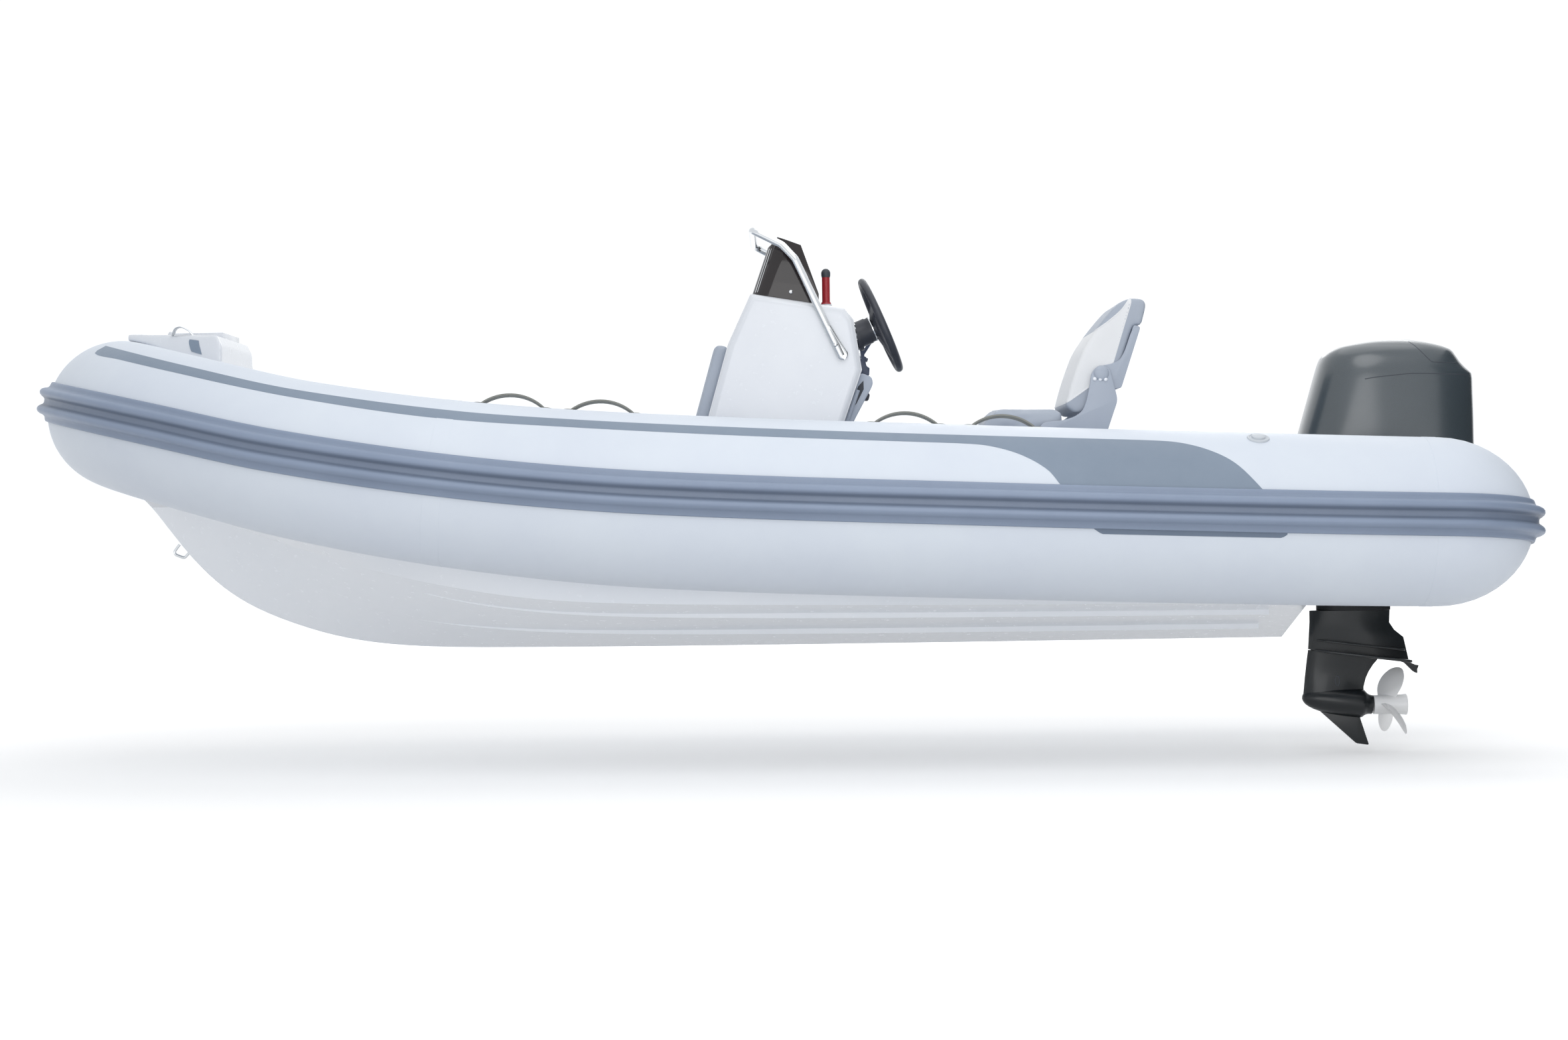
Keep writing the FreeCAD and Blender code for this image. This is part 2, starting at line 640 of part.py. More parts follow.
def bow_step(seats):
    """Moulded step over the bow tube, with a recess for its lid and the locker below."""
    foot = BOW_DECK_TOP_Z + FACE_GAP
    aft_wire = polygon([(STEP_AFT_X, -STEP_AFT_HALF_WIDTH - 60, foot),
                        (STEP_AFT_X, STEP_AFT_HALF_WIDTH + 60, foot),
                        (STEP_AFT_X + 6, STEP_AFT_HALF_WIDTH, STEP_TOP_Z - 46),
                        (STEP_AFT_X + 6, -STEP_AFT_HALF_WIDTH, STEP_TOP_Z - 46)])
    mid_wire = polygon([(LOCKER_AFT_X - 22, -STEP_AFT_HALF_WIDTH - 60, foot),
                        (LOCKER_AFT_X - 22, STEP_AFT_HALF_WIDTH + 60, foot),
                        (LOCKER_AFT_X - 22, STEP_AFT_HALF_WIDTH - 10, STEP_TOP_Z - 12),
                        (LOCKER_AFT_X - 22, -STEP_AFT_HALF_WIDTH + 10, STEP_TOP_Z - 12)])
    bow_wire = polygon([(STEP_BOW_X, -STEP_BOW_HALF_WIDTH - 30, foot),
                        (STEP_BOW_X, STEP_BOW_HALF_WIDTH + 30, foot),
                        (STEP_BOW_X - 16, STEP_BOW_HALF_WIDTH, STEP_TOP_Z + 6),
                        (STEP_BOW_X - 16, -STEP_BOW_HALF_WIDTH, STEP_TOP_Z + 6)])
    block = loft([aft_wire, mid_wire, bow_wire], True)
    block = cut_by(block, seats)
    block = block.cut(box(LOCKER_AFT_X, LOCKER_BOW_X, -LOCKER_HALF_WIDTH, LOCKER_HALF_WIDTH,
                          STEP_TOP_Z - LOCKER_DEPTH, STEP_TOP_Z + 50))
    recess = plan_prism(step_lid_outline(2.0), STEP_TOP_Z - LID_THICKNESS, STEP_TOP_Z + 50)
    return keep_largest(block.cut(recess))


def lid_hinge_x():
    """Place of the lid's hinge pin, along its bow edge."""
    return LOCKER_BOW_X + LID_OVERLAP + 2.0


def bow_lid():
    """Lid that lies in the step's recess and turns up about its bow edge."""
    foot = STEP_TOP_Z - LID_THICKNESS + FACE_GAP
    plate = plan_prism(step_lid_outline(-1.0), foot, STEP_TOP_Z + 6)
    barrel = rod((lid_hinge_x(), -70, STEP_TOP_Z + 9), (lid_hinge_x(), 70, STEP_TOP_Z + 9), 7.0)
    return fuse([plate, barrel])


def bow_chock(step):
    """Polished hoop fairlead on the port side of the step."""
    foot_z = STEP_TOP_Z
    half = CHOCK_LENGTH / 2
    hoop = rounded_pipe([(CHOCK_X - half, CHOCK_Y, foot_z), (CHOCK_X - half * 0.5, CHOCK_Y,
                         foot_z + CHOCK_HEIGHT), (CHOCK_X + half * 0.5, CHOCK_Y,
                         foot_z + CHOCK_HEIGHT), (CHOCK_X + half, CHOCK_Y, foot_z)],
                        [12.0, 12.0], CHOCK_WIRE)
    base = box(CHOCK_X - half - 8, CHOCK_X + half + 8, CHOCK_Y - 11, CHOCK_Y + 11,
               foot_z - 30, foot_z + 3)
    return keep_largest(fuse([base, hoop]).cut(step))


# Small fittings

def bow_eye(hull):
    """Towing eye through the stem."""
    z = smooth(KEEL_LINE, BOW_EYE_X)
    drop = 26.0
    ring = rounded_pipe([(BOW_EYE_X + 10, 0, z + 6), (BOW_EYE_X + BOW_EYE_REACH, 0, z - drop),
                         (BOW_EYE_X - 6, 0, z - drop - 16), (BOW_EYE_X - 26, 0, z - 20)],
                        [11.0, 11.0], BOW_EYE_WIRE)
    return keep_largest(ring.cut(hull))


def strap(centre_x):
    """Moulded grab handle: an arch over two feet on top of the port tube."""
    t = centre_x - TUBE_BEND_X
    half = STRAP_SPAN / 2
    start, normal = tube_surface(t - half, STRAP_ANGLE, SEAT_GAP)
    end = tube_surface(t + half, STRAP_ANGLE, SEAT_GAP)[0]
    along = (end - start).normalize()
    across = along.cross(normal).normalize()
    out = across.cross(along).normalize()
    middle = (start + end) * 0.5
    sagitta = STRAP_RISE
    radius = (half**2 + sagitta**2) / (2 * sagitta)
    centre = middle - out * (radius - sagitta)
    sweep = math.asin(half / radius)

    def at(turn, reach):
        return centre + (along * math.sin(turn) + out * math.cos(turn)) * reach

    outer = Part.Arc(at(-sweep, radius), at(0, radius), at(sweep, radius)).toShape()
    inner_r = radius - STRAP_THICKNESS
    inner = Part.Arc(at(sweep, inner_r), at(0, inner_r), at(-sweep, inner_r)).toShape()
    ends = [Part.LineSegment(at(sweep, radius), at(sweep, inner_r)).toShape(),
            Part.LineSegment(at(-sweep, inner_r), at(-sweep, radius)).toShape()]
    face = Part.Face(Part.Wire(Part.__sortEdges__([outer, inner] + ends)))
    face.translate(across * (-STRAP_WIDTH / 2))
    arch = face.extrude(across * STRAP_WIDTH)
    feet = []
    for place in (start, end):
        feet.append(Part.makeCylinder(STRAP_FOOT / 2, 14.0, place - out * 8.0, out))
    return fuse([arch] + feet)


def straps(seat):
    """All grab handles of the port side, trimmed to the tube."""
    solids = [strap(x).cut(seat) for x in STRAP_CENTRES_X]
    return Part.makeCompound([keep_largest(solid) for solid in solids])


def tube_valve(seat):
    """Round inflation valve cap on the port tube."""
    point, normal = tube_surface(VALVE_X - TUBE_BEND_X, VALVE_ANGLE)
    cap = Part.makeCylinder(VALVE_RADIUS, VALVE_HEIGHT + 8, point - normal * 8, normal)
    knob = Part.makeCylinder(VALVE_RADIUS * 0.55, 5, point + normal * VALVE_HEIGHT, normal)
    return keep_largest(fuse([cap, knob]).cut(seat))


def tow_eyes():
    """Ski tow eyes on the transom, each a level lug with an upright hole."""
    face = TRANSOM_X - FACE_GAP
    base = box(face - 8, face, TOW_EYE_Y - 34, TOW_EYE_Y + 34, TOW_EYE_Z - 24, TOW_EYE_Z + 24)
    eye_x = TRANSOM_X - TOW_EYE_REACH
    z0 = TOW_EYE_Z - TOW_EYE_THICKNESS / 2
    z1 = z0 + TOW_EYE_THICKNESS
    neck = box(eye_x, face - 4, TOW_EYE_Y - TOW_EYE_RADIUS, TOW_EYE_Y + TOW_EYE_RADIUS, z0, z1)
    disc = rod((eye_x, TOW_EYE_Y, z0), (eye_x, TOW_EYE_Y, z1), TOW_EYE_RADIUS)
    hole = rod((eye_x, TOW_EYE_Y, z0 - 1), (eye_x, TOW_EYE_Y, z1 + 1), TOW_EYE_BORE)
    return pair(fuse([base, neck, disc]).cut(hole))


# Console

def console_outline(inset=0.0):
    """Console seen from the side, as (x, z) points, drawn in by a wall."""
    foot = SOLE_TOP_Z + FACE_GAP
    return [(CONSOLE_FRONT_FOOT_X - inset, foot + inset), (CONSOLE_KNEE_X - inset, CONSOLE_KNEE_Z),
            (CONSOLE_FRONT_TOP_X - inset, CONSOLE_FRONT_TOP_Z - inset),
            (CONSOLE_BROW_X + inset / 2, CONSOLE_BROW_Z - inset),
            (CONSOLE_DASH_TOP_X + inset, CONSOLE_DASH_TOP_Z - inset / 2),
            (CONSOLE_DASH_FOOT_X + inset, CONSOLE_DASH_FOOT_Z),
            (CONSOLE_AFT_FOOT_X + inset, CONSOLE_AFT_FOOT_Z + inset / 3),
            (CONSOLE_AFT_FOOT_X + inset, foot + inset)]


def aft_face_x(z):
    """Console's sloping aft face at a height below the dash."""
    share = (z - CONSOLE_AFT_FOOT_Z) / (CONSOLE_DASH_FOOT_Z - CONSOLE_AFT_FOOT_Z)
    return CONSOLE_AFT_FOOT_X + (CONSOLE_DASH_FOOT_X - CONSOLE_AFT_FOOT_X) * share


def aft_face_out():
    """Direction square to the sloping aft face, pointing aft and down."""
    run = Vector(CONSOLE_DASH_FOOT_X - CONSOLE_AFT_FOOT_X, 0,
                 CONSOLE_DASH_FOOT_Z - CONSOLE_AFT_FOOT_Z).normalize()
    return Vector(-run.z, 0, run.x)


def console_shell():
    """Hollow console with its door opening."""
    wide = CONSOLE_HALF_WIDTH
    outer = side_prism(console_outline(), -wide, wide)
    upright = [edge for edge in outer.Edges
               if abs(abs(edge.CenterOfMass.y) - wide) < 0.1 and edge.CenterOfMass.z > SOLE_TOP_Z + 2]
    outer = outer.makeFillet(26.0, upright)
    inner = side_prism(console_outline(CONSOLE_WALL), CONSOLE_WALL - wide, wide - CONSOLE_WALL)
    half = DOOR_WIDTH / 2 - DOOR_OVERLAP
    low = DOOR_FOOT_Z + DOOR_OVERLAP
    high = DOOR_TOP_Z - DOOR_OVERLAP
    doorway = side_prism([(aft_face_x(low) - 40, low), (aft_face_x(low) + 40, low),
                          (aft_face_x(high) + 40, high), (aft_face_x(high) - 40, high)],
                         -half, half)
    return keep_largest(outer.cut(inner).cut(doorway))


def console_door():
    """Door over the opening in the aft face, with its hinge barrel on the port edge."""
    out = aft_face_out()
    low = Vector(aft_face_x(DOOR_FOOT_Z), -DOOR_WIDTH / 2, DOOR_FOOT_Z) + out * FACE_GAP
    high = Vector(aft_face_x(DOOR_TOP_Z), -DOOR_WIDTH / 2, DOOR_TOP_Z) + out * FACE_GAP
    across = Vector(0, DOOR_WIDTH, 0)
    wire = Part.makePolygon([low, low + across, high + across, high, low])
    plate = Part.Face(wire).extrude(out * DOOR_THICKNESS)
    start, run = door_hinge()
    barrel = Part.makeCylinder(HINGE_RADIUS, run.Length - 60, start + run * (30 / run.Length), run)
    return fuse([plate, barrel])


def door_hinge():
    """Foot of the door's hinge line and the run to its top."""
    out = aft_face_out()
    y = DOOR_WIDTH / 2 + HINGE_RADIUS - 2
    low = Vector(aft_face_x(DOOR_FOOT_Z), y, DOOR_FOOT_Z) + out * (HINGE_RADIUS + FACE_GAP)
    high = Vector(aft_face_x(DOOR_TOP_Z), y, DOOR_TOP_Z) + out * (HINGE_RADIUS + FACE_GAP)
    return low, high - low


def windscreen():
    """Smoked screen bent round the front and sides of the console top."""
    def outline(inset, extra):
        top = top_line_z(SCREEN_AFT_X) - extra
        return [(CONSOLE_FRONT_TOP_X - 4 - inset, top_line_z(CONSOLE_FRONT_TOP_X - 4) - extra),
                (SCREEN_TOP_FRONT_X - inset, SCREEN_TOP_FRONT_Z + extra),
                (SCREEN_TOP_AFT_X - extra, SCREEN_TOP_AFT_Z + extra),
                (SCREEN_AFT_X - extra, top_line_z(SCREEN_AFT_X) + 36),
                (SCREEN_AFT_X - extra, top)]
    wide = SCREEN_HALF_WIDTH
    thin = SCREEN_THICKNESS
    outer = side_prism(outline(0, -FACE_GAP), -wide, wide)
    front = [edge for edge in outer.Edges if front_edge(edge, wide)]
    outer = outer.makeFillet(SCREEN_CORNER, front)
    inner = side_prism(outline(thin, 40), thin - wide, wide - thin)
    front = [edge for edge in inner.Edges if front_edge(edge, wide - thin)]
    inner = inner.makeFillet(SCREEN_CORNER - thin, front)
    return keep_largest(outer.cut(inner))


def front_edge(edge, wide):
    """True for the screen's two raked front corner edges."""
    middle = edge.CenterOfMass
    tall = edge.BoundBox.ZLength > 120
    return abs(abs(middle.y) - wide) < 0.1 and tall and middle.x > -60


def top_line_z(x):
    """Height of the console's top face."""
    share = (x - CONSOLE_FRONT_TOP_X) / (CONSOLE_BROW_X - CONSOLE_FRONT_TOP_X)
    return CONSOLE_FRONT_TOP_Z + (CONSOLE_BROW_Z - CONSOLE_FRONT_TOP_Z) * share


def guard_rail():
    """Stainless guard over the windscreen, from one side of the console to the other."""
    side_y = CONSOLE_HALF_WIDTH + GUARD_TUBE_RADIUS + FACE_GAP
    port = [(GUARD_FOOT_X, side_y, GUARD_FOOT_Z), (GUARD_BEND_X, side_y, GUARD_BEND_Z),
            (GUARD_CREST_X, GUARD_CREST_Y, GUARD_CREST_Z),
            (GUARD_FRONT_X, GUARD_FRONT_Y, GUARD_FRONT_Z)]
    starboard = [(x, -py, z) for x, py, z in reversed(port)]
    return rounded_pipe(port + starboard, [40, 40, 34, 34, 40, 40], GUARD_TUBE_RADIUS)


def front_face_x(z):
    """Console's front face at a height below its knee."""
    foot = SOLE_TOP_Z
    share = (z - foot) / (CONSOLE_KNEE_Z - foot)
    return CONSOLE_FRONT_FOOT_X + (CONSOLE_KNEE_X - CONSOLE_FRONT_FOOT_X) * share


def front_pad():
    """Padded back rest on the console's front face."""
    gap = FACE_GAP
    low = FRONT_SEAT_TOP_Z + gap
    high = FRONT_PAD_TOP_Z
    pad = side_prism([(front_face_x(low) + gap, low), (front_face_x(high) + gap, high),
                      (front_face_x(high) + gap + FRONT_PAD_THICKNESS, high + 4),
                      (front_face_x(low) + gap + FRONT_PAD_THICKNESS, low)],
                     -FRONT_PAD_HALF_WIDTH, FRONT_PAD_HALF_WIDTH)
    return pad


def front_seat_base():
    """Moulded seat ahead of the console."""
    top = FRONT_SEAT_TOP_Z - FRONT_SEAT_CUSHION
    foot = SOLE_TOP_Z + FACE_GAP
    front = front_face_x(top) + FRONT_SEAT_LENGTH
    base = side_prism([(front_face_x(foot) + FACE_GAP, foot), (front - 60, foot),
                       (front, top), (front_face_x(top) + FACE_GAP, top)],
                      -FRONT_SEAT_HALF_WIDTH, FRONT_SEAT_HALF_WIDTH)
    return base


def front_seat_cushion():
    """Cushion on the front seat."""
    foot = FRONT_SEAT_TOP_Z - FRONT_SEAT_CUSHION + FACE_GAP
    back = front_face_x(foot) + 2 * FACE_GAP + 1
    front = front_face_x(foot) + FRONT_SEAT_LENGTH - 6
    wide = FRONT_SEAT_HALF_WIDTH - 8
    return box(back, front, -wide, wide, foot, FRONT_SEAT_TOP_Z)


# Helm

def wheel_axis():
    """Direction of the steering shaft, from the dash aft and up to the helmsman."""
    turn = math.radians(WHEEL_TILT)
    return Vector(-math.cos(turn), 0, math.sin(turn))


def wheel_centre():
    """Centre of the steering wheel's rim."""
    return Vector(WHEEL_X, 0, WHEEL_Z)


def helm_boss():
    """Round boss of the steering gear on the dash."""
    axis = wheel_axis()
    end = wheel_centre() - axis * (WHEEL_DISH + 12)
    start = end - axis * (BOSS_LENGTH + 60)
    boss = Part.makeCylinder(BOSS_RADIUS, (end - start).Length, start, axis)
    flange = Part.makeCylinder(BOSS_RADIUS + 10, 14, end - axis * BOSS_LENGTH, axis)
    dash = side_prism(console_outline(), -CONSOLE_HALF_WIDTH, CONSOLE_HALF_WIDTH)
    bore = Part.makeCylinder(SHAFT_RADIUS + PIN_GAP, 40, end - axis * 30, axis)
    dash.translate(Vector(-FACE_GAP, 0, 0))
    return keep_largest(fuse([boss, flange]).cut(dash).cut(bore))


def steering_wheel():
    """Dished wheel with three spokes and a hub on its shaft."""
    axis = wheel_axis()
    centre = wheel_centre()
    across = Vector(0, 1, 0)
    up = axis.cross(across)
    rim = Part.makeTorus(WHEEL_RIM_RADIUS, WHEEL_RIM_WIRE, centre, axis)
    hub_centre = centre - axis * WHEEL_DISH
    hub = Part.makeCylinder(WHEEL_HUB_RADIUS, 22, hub_centre - axis * 6, axis)
    shaft = Part.makeCylinder(SHAFT_RADIUS, 30, hub_centre - axis * 34, axis)
    solids = [hub, shaft]
    for index in range(3):
        turn = math.radians(-90 + 120 * index)
        out = across * math.cos(turn) - up * math.sin(turn)
        start = hub_centre + out * (WHEEL_HUB_RADIUS - 10) + axis * 4
        end = centre + out * WHEEL_RIM_RADIUS
        run = end - start
        spoke = Part.makeBox(run.Length, 28, 7)
        side = axis.cross(out).normalize()
        matrix = frame_matrix(run.normalize(), side, start - side * 14)
        spoke.Placement = FreeCAD.Placement(matrix)
        solids.append(spoke)
    solids.append(rim)
    return fuse(solids)


def frame_matrix(x_axis, y_axis, origin):
    """Placement matrix from two square directions and a place."""
    z_axis = x_axis.cross(y_axis)
    return FreeCAD.Matrix(x_axis.x, y_axis.x, z_axis.x, origin.x, x_axis.y, y_axis.y, z_axis.y,
                          origin.y, x_axis.z, y_axis.z, z_axis.z, origin.z, 0, 0, 0, 1)


def dash_face_x(z):
    """Console's dash face at a height."""
    share = (z - CONSOLE_DASH_FOOT_Z) / (CONSOLE_DASH_TOP_Z - CONSOLE_DASH_FOOT_Z)
    return CONSOLE_DASH_FOOT_X + (CONSOLE_DASH_TOP_X - CONSOLE_DASH_FOOT_X) * share


def switch_box():
    """Engine control box with its short lever, on the dash beside the wheel."""
    low = CONSOLE_DASH_FOOT_Z + 6
    high = low + 92
    depth = 32.0
    body = side_prism([(dash_face_x(low) - FACE_GAP, low), (dash_face_x(high) - FACE_GAP, high),
                       (dash_face_x(high) - depth, high - 6), (dash_face_x(low) - depth, low + 6)],
                      SWITCH_BOX_Y - 45, SWITCH_BOX_Y + 45)
    x = dash_face_x(high) - depth
    lever = rod((x + 8, SWITCH_BOX_Y, high - 30), (x - 34, SWITCH_BOX_Y, high + 34), 6.0)
    knob = Part.makeSphere(12.0, Vector(x - 34, SWITCH_BOX_Y, high + 34))
    return fuse([body, lever, knob])


def red_grip():
    """Upright red grip with a collar, on top of the console behind the screen."""
    foot = top_line_z(GRIP_X + GRIP_RADIUS + 8) + FACE_GAP - 3
    collar = Part.makeCone(GRIP_RADIUS + 8, GRIP_RADIUS + 2, 16, Vector(GRIP_X, GRIP_Y, foot + 3))
    grip = rod((GRIP_X, GRIP_Y, foot + 3), (GRIP_X, GRIP_Y, foot + GRIP_HEIGHT - 14), GRIP_RADIUS)
    cap = Part.makeSphere(GRIP_RADIUS + 1.5, Vector(GRIP_X, GRIP_Y, foot + GRIP_HEIGHT - 15))
    return fuse([collar, grip, cap])


# Helm seat

def helm_seat_base():
    """Moulded locker that carries the helm seat."""
    foot = SOLE_TOP_Z + FACE_GAP
    top = SEAT_CUSHION_TOP_Z - SEAT_CUSHION_THICKNESS
    outline = [(SEAT_FRONT_X - 46, foot), (SEAT_FRONT_X - 8, top), (SEAT_BASE_AFT_X, top),
               (SEAT_BASE_AFT_X + 20, foot)]
    return side_prism(outline, -SEAT_BASE_HALF_WIDTH, SEAT_BASE_HALF_WIDTH)


def helm_cushion():
    """Seat cushion of the helm seat, with a rounded front."""
    foot = SEAT_CUSHION_TOP_Z - SEAT_CUSHION_THICKNESS + FACE_GAP
    top = SEAT_CUSHION_TOP_Z
    outline = [(SEAT_FRONT_X, foot), (SEAT_FRONT_X, top - 44), (SEAT_FRONT_X - 44, top),
               (SEAT_CUSHION_AFT_X, top - 3), (SEAT_CUSHION_AFT_X, foot)]
    return side_prism(outline, -SEAT_PAD_HALF_WIDTH, SEAT_PAD_HALF_WIDTH)


def bracket_y():
    """Inner face of the seat's side brackets."""
    return SEAT_PAD_HALF_WIDTH + 10.0


def seat_brackets():
    """Side arms that carry the back rest's pivot, one each side."""
    foot = SEAT_CUSHION_TOP_Z - SEAT_CUSHION_THICKNESS + FACE_GAP
    outline = [(SEAT_FRONT_X - 180, foot), (SEAT_BASE_AFT_X + 20, foot),
               (SEAT_PIVOT_X - 66, foot + 110), (SEAT_PIVOT_X - 44, SEAT_PIVOT_Z - 20),
               (SEAT_PIVOT_X - 30, SEAT_PIVOT_Z + 26), (SEAT_PIVOT_X + 26, SEAT_PIVOT_Z + 30),
               (SEAT_PIVOT_X + 60, SEAT_PIVOT_Z - 60), (SEAT_PIVOT_X + 120, foot + 62),
               (SEAT_FRONT_X - 190, foot + 34)]
    y0 = bracket_y()
    arm = side_prism(outline, y0, y0 + SEAT_BRACKET_THICKNESS)
    bore = rod((SEAT_PIVOT_X, y0 - 1, SEAT_PIVOT_Z),
               (SEAT_PIVOT_X, y0 + SEAT_BRACKET_THICKNESS + 1, SEAT_PIVOT_Z),
               SEAT_PIN_RADIUS + PIN_GAP)
    return pair(arm.cut(bore))


def back_line():
    """Front edge of the back rest pad from the side, from its foot to its top."""
    return [(-1041, 606), (-1066, 690), (-1092, 760), (-1122, 822), (-1160, 876), (-1205, 930),
            (-1252, 962), (-1296, 970)]


def seat_back_pad():
    """Padded back rest."""
    front = back_line()
    aft = [(-1306, 958), (-1286, 900), (-1240, 800), (-1200, 700), (-1180, 640), (-1120, 604)]
    return side_prism(front + aft, -SEAT_PAD_HALF_WIDTH, SEAT_PAD_HALF_WIDTH)


def seat_back_shell():
    """Moulded shell behind the pad, with the pivot pins."""
    inner = [(-1308, 960), (-1288, 900), (-1242, 800), (-1203, 700), (-1183, 640)]
    thick = SEAT_SHELL_THICKNESS
    outer = [(x - thick, z + (4 if z > 900 else -2)) for x, z in reversed(inner)]
    shell = side_prism([(x - FACE_GAP, z) for x, z in inner] + outer,
                       -SEAT_PAD_HALF_WIDTH, SEAT_PAD_HALF_WIDTH)
    y0 = SEAT_PAD_HALF_WIDTH
    ear_outline = [(SEAT_PIVOT_X + 20, SEAT_PIVOT_Z - 18), (SEAT_PIVOT_X - 60, SEAT_PIVOT_Z - 50),
                   (-1258, 780), (-1220, 800), (SEAT_PIVOT_X + 14, SEAT_PIVOT_Z + 34)]
    ear = side_prism(ear_outline, y0 + FACE_GAP, y0 + 4)
    pin = rod((SEAT_PIVOT_X, y0 + 1, SEAT_PIVOT_Z),
              (SEAT_PIVOT_X, bracket_y() + SEAT_BRACKET_THICKNESS + 4, SEAT_PIVOT_Z),
              SEAT_PIN_RADIUS)
    join = side_prism([(-1254, 760), (-1270, 766), (-1262, 800), (-1244, 796)], y0 - 4, y0 + 4)
    side = fuse([ear, pin, join])
    return fuse([shell, side, mirrored(side)])


# Outboard motor

def clamp_bracket():
    """Two clamp plates on the transom, each with an ear for the tilt tube."""
    x0 = TRANSOM_X - FACE_GAP
    y0 = CLAMP_HALF_SPACING
    y1 = y0 + CLAMP_EAR_THICKNESS
    outline = [(x0, 40), (x0 - 40, 40), (x0 - 52, 110), (x0 - 40, 240),
               (TILT_X - 26, TILT_Z - 20), (TILT_X - 22, TILT_Z + 22), (TILT_X + 10, TILT_Z + 28),
               (TRANSOM_X + TRANSOM_THICKNESS + 26, TILT_Z + 2),
               (TRANSOM_X + TRANSOM_THICKNESS + 26, 210),
               (TRANSOM_X + TRANSOM_THICKNESS + FACE_GAP, 210),
               (TRANSOM_X + TRANSOM_THICKNESS + FACE_GAP, TRANSOM_TOP_Z + FACE_GAP),
               (x0, TRANSOM_TOP_Z + FACE_GAP)]
    ear = side_prism(outline, y0, y1)
    bore = rod((TILT_X, y0 - 1, TILT_Z), (TILT_X, y1 + 1, TILT_Z), TILT_TUBE_RADIUS + PIN_GAP)
    ear = ear.cut(bore)
    cross = rod((RAM_FOOT_X, -y0 - 2, RAM_FOOT_Z), (RAM_FOOT_X, y0 + 2, RAM_FOOT_Z), 9.0)
    return fuse([ear, mirrored(ear), cross])


def swivel_bracket():
    """Swivel bracket on the tilt tube, with the upright bore of the steering pin."""
    wide = CLAMP_HALF_SPACING - 1.0
    tilt_tube = rod((TILT_X, -CLAMP_HALF_SPACING - CLAMP_EAR_THICKNESS - 14, TILT_Z),
                    (TILT_X, CLAMP_HALF_SPACING + CLAMP_EAR_THICKNESS + 14, TILT_Z),
                    TILT_TUBE_RADIUS)
    sleeve = rod((TILT_X, -wide, TILT_Z), (TILT_X, wide, TILT_Z), TILT_TUBE_RADIUS + 9)
    tube = rod((STEER_X, 0, SWIVEL_FOOT_Z), (STEER_X, 0, SWIVEL_TOP_Z), SWIVEL_TUBE_RADIUS)
    web = side_prism([(TILT_X - 6, TILT_Z - 14), (STEER_X, SWIVEL_TOP_Z - 4),
                      (STEER_X, 190), (TILT_X - 30, 240)], -wide + 30, wide - 30)
    lower = side_prism([(STEER_X, 200), (STEER_X, 90), (STEER_X + 22, 110), (STEER_X + 22, 200)],
                       -34, 34)
    solid = fuse([tilt_tube, sleeve, web, tube, lower])
    slot = box(STEER_X + SWIVEL_TUBE_RADIUS + 1, TILT_X + 60, -RAM_SLOT_HALF_WIDTH,
               RAM_SLOT_HALF_WIDTH, SWIVEL_FOOT_Z, TILT_Z - TILT_TUBE_RADIUS - 12)
    bore = rod((STEER_X, 0, SWIVEL_FOOT_Z - 1), (STEER_X, 0, SWIVEL_TOP_Z + 1),
               STEER_PIN_RADIUS + PIN_GAP)
    return keep_largest(solid.cut(bore).cut(slot))


def oval(x0, x1, half_width, z, power=2.6):
    """Closed rounded outline at a height, between two ends."""
    middle = (x0 + x1) / 2
    half_length = abs(x1 - x0) / 2
    points = []
    count = 20
    for index in range(count):
        turn = 2 * math.pi * index / count
        c = math.cos(turn)
        s = math.sin(turn)
        points.append((middle + half_length * math.copysign(abs(c) ** (2 / power), c),
                       half_width * math.copysign(abs(s) ** (2 / power), s), z))
    return closed_curve(points)


def cowl():
    """Upper motor cowl."""
    levels = [(COWL_FOOT_Z, 14, 10, 0.97), (450, 4, 0, 1.0), (540, 12, 0, 1.0),
              (640, 40, 2, 0.97), (706, 60, 6, 0.92), (763, 78, 48, 0.82),
              (796, 106, 80, 0.68), (818, 150, 130, 0.52), (830, 205, 190, 0.34),
              (COWL_TOP_Z, 270, 270, 0.12)]
    return loft([oval(COWL_FRONT_X - front, COWL_AFT_X + aft, COWL_HALF_WIDTH * wide, z)
                 for z, front, aft, wide in levels])


def cowl_tray():
    """Lower cowl under the powerhead."""
    top = COWL_FOOT_Z - FACE_GAP
    foot = top - TRAY_DEPTH
    levels = [(foot, 80, 190, 0.46), (foot + 18, 56, 120, 0.66), (top - 12, 18, 18, 0.95),
              (top, 14, 10, 0.97)]
    solid = loft([oval(COWL_FRONT_X - front, COWL_AFT_X + aft, COWL_HALF_WIDTH * wide, z)
                  for z, front, aft, wide in levels])
    return solid


def leg_plan(front, aft, half_width, z):
    """Streamlined leg outline at a height, blunt in front and fine behind."""
    length = front - aft
    port = [(0.04, 0.42), (0.16, 0.82), (0.36, 1.0), (0.62, 0.86), (0.86, 0.46)]
    points = [(front, 0.0, z)]
    points += [(front - length * along, half_width * wide, z) for along, wide in port]
    points += [(aft, 0.0, z)]
    points += [(front - length * along, -half_width * wide, z) for along, wide in reversed(port)]
    return closed_curve(points)


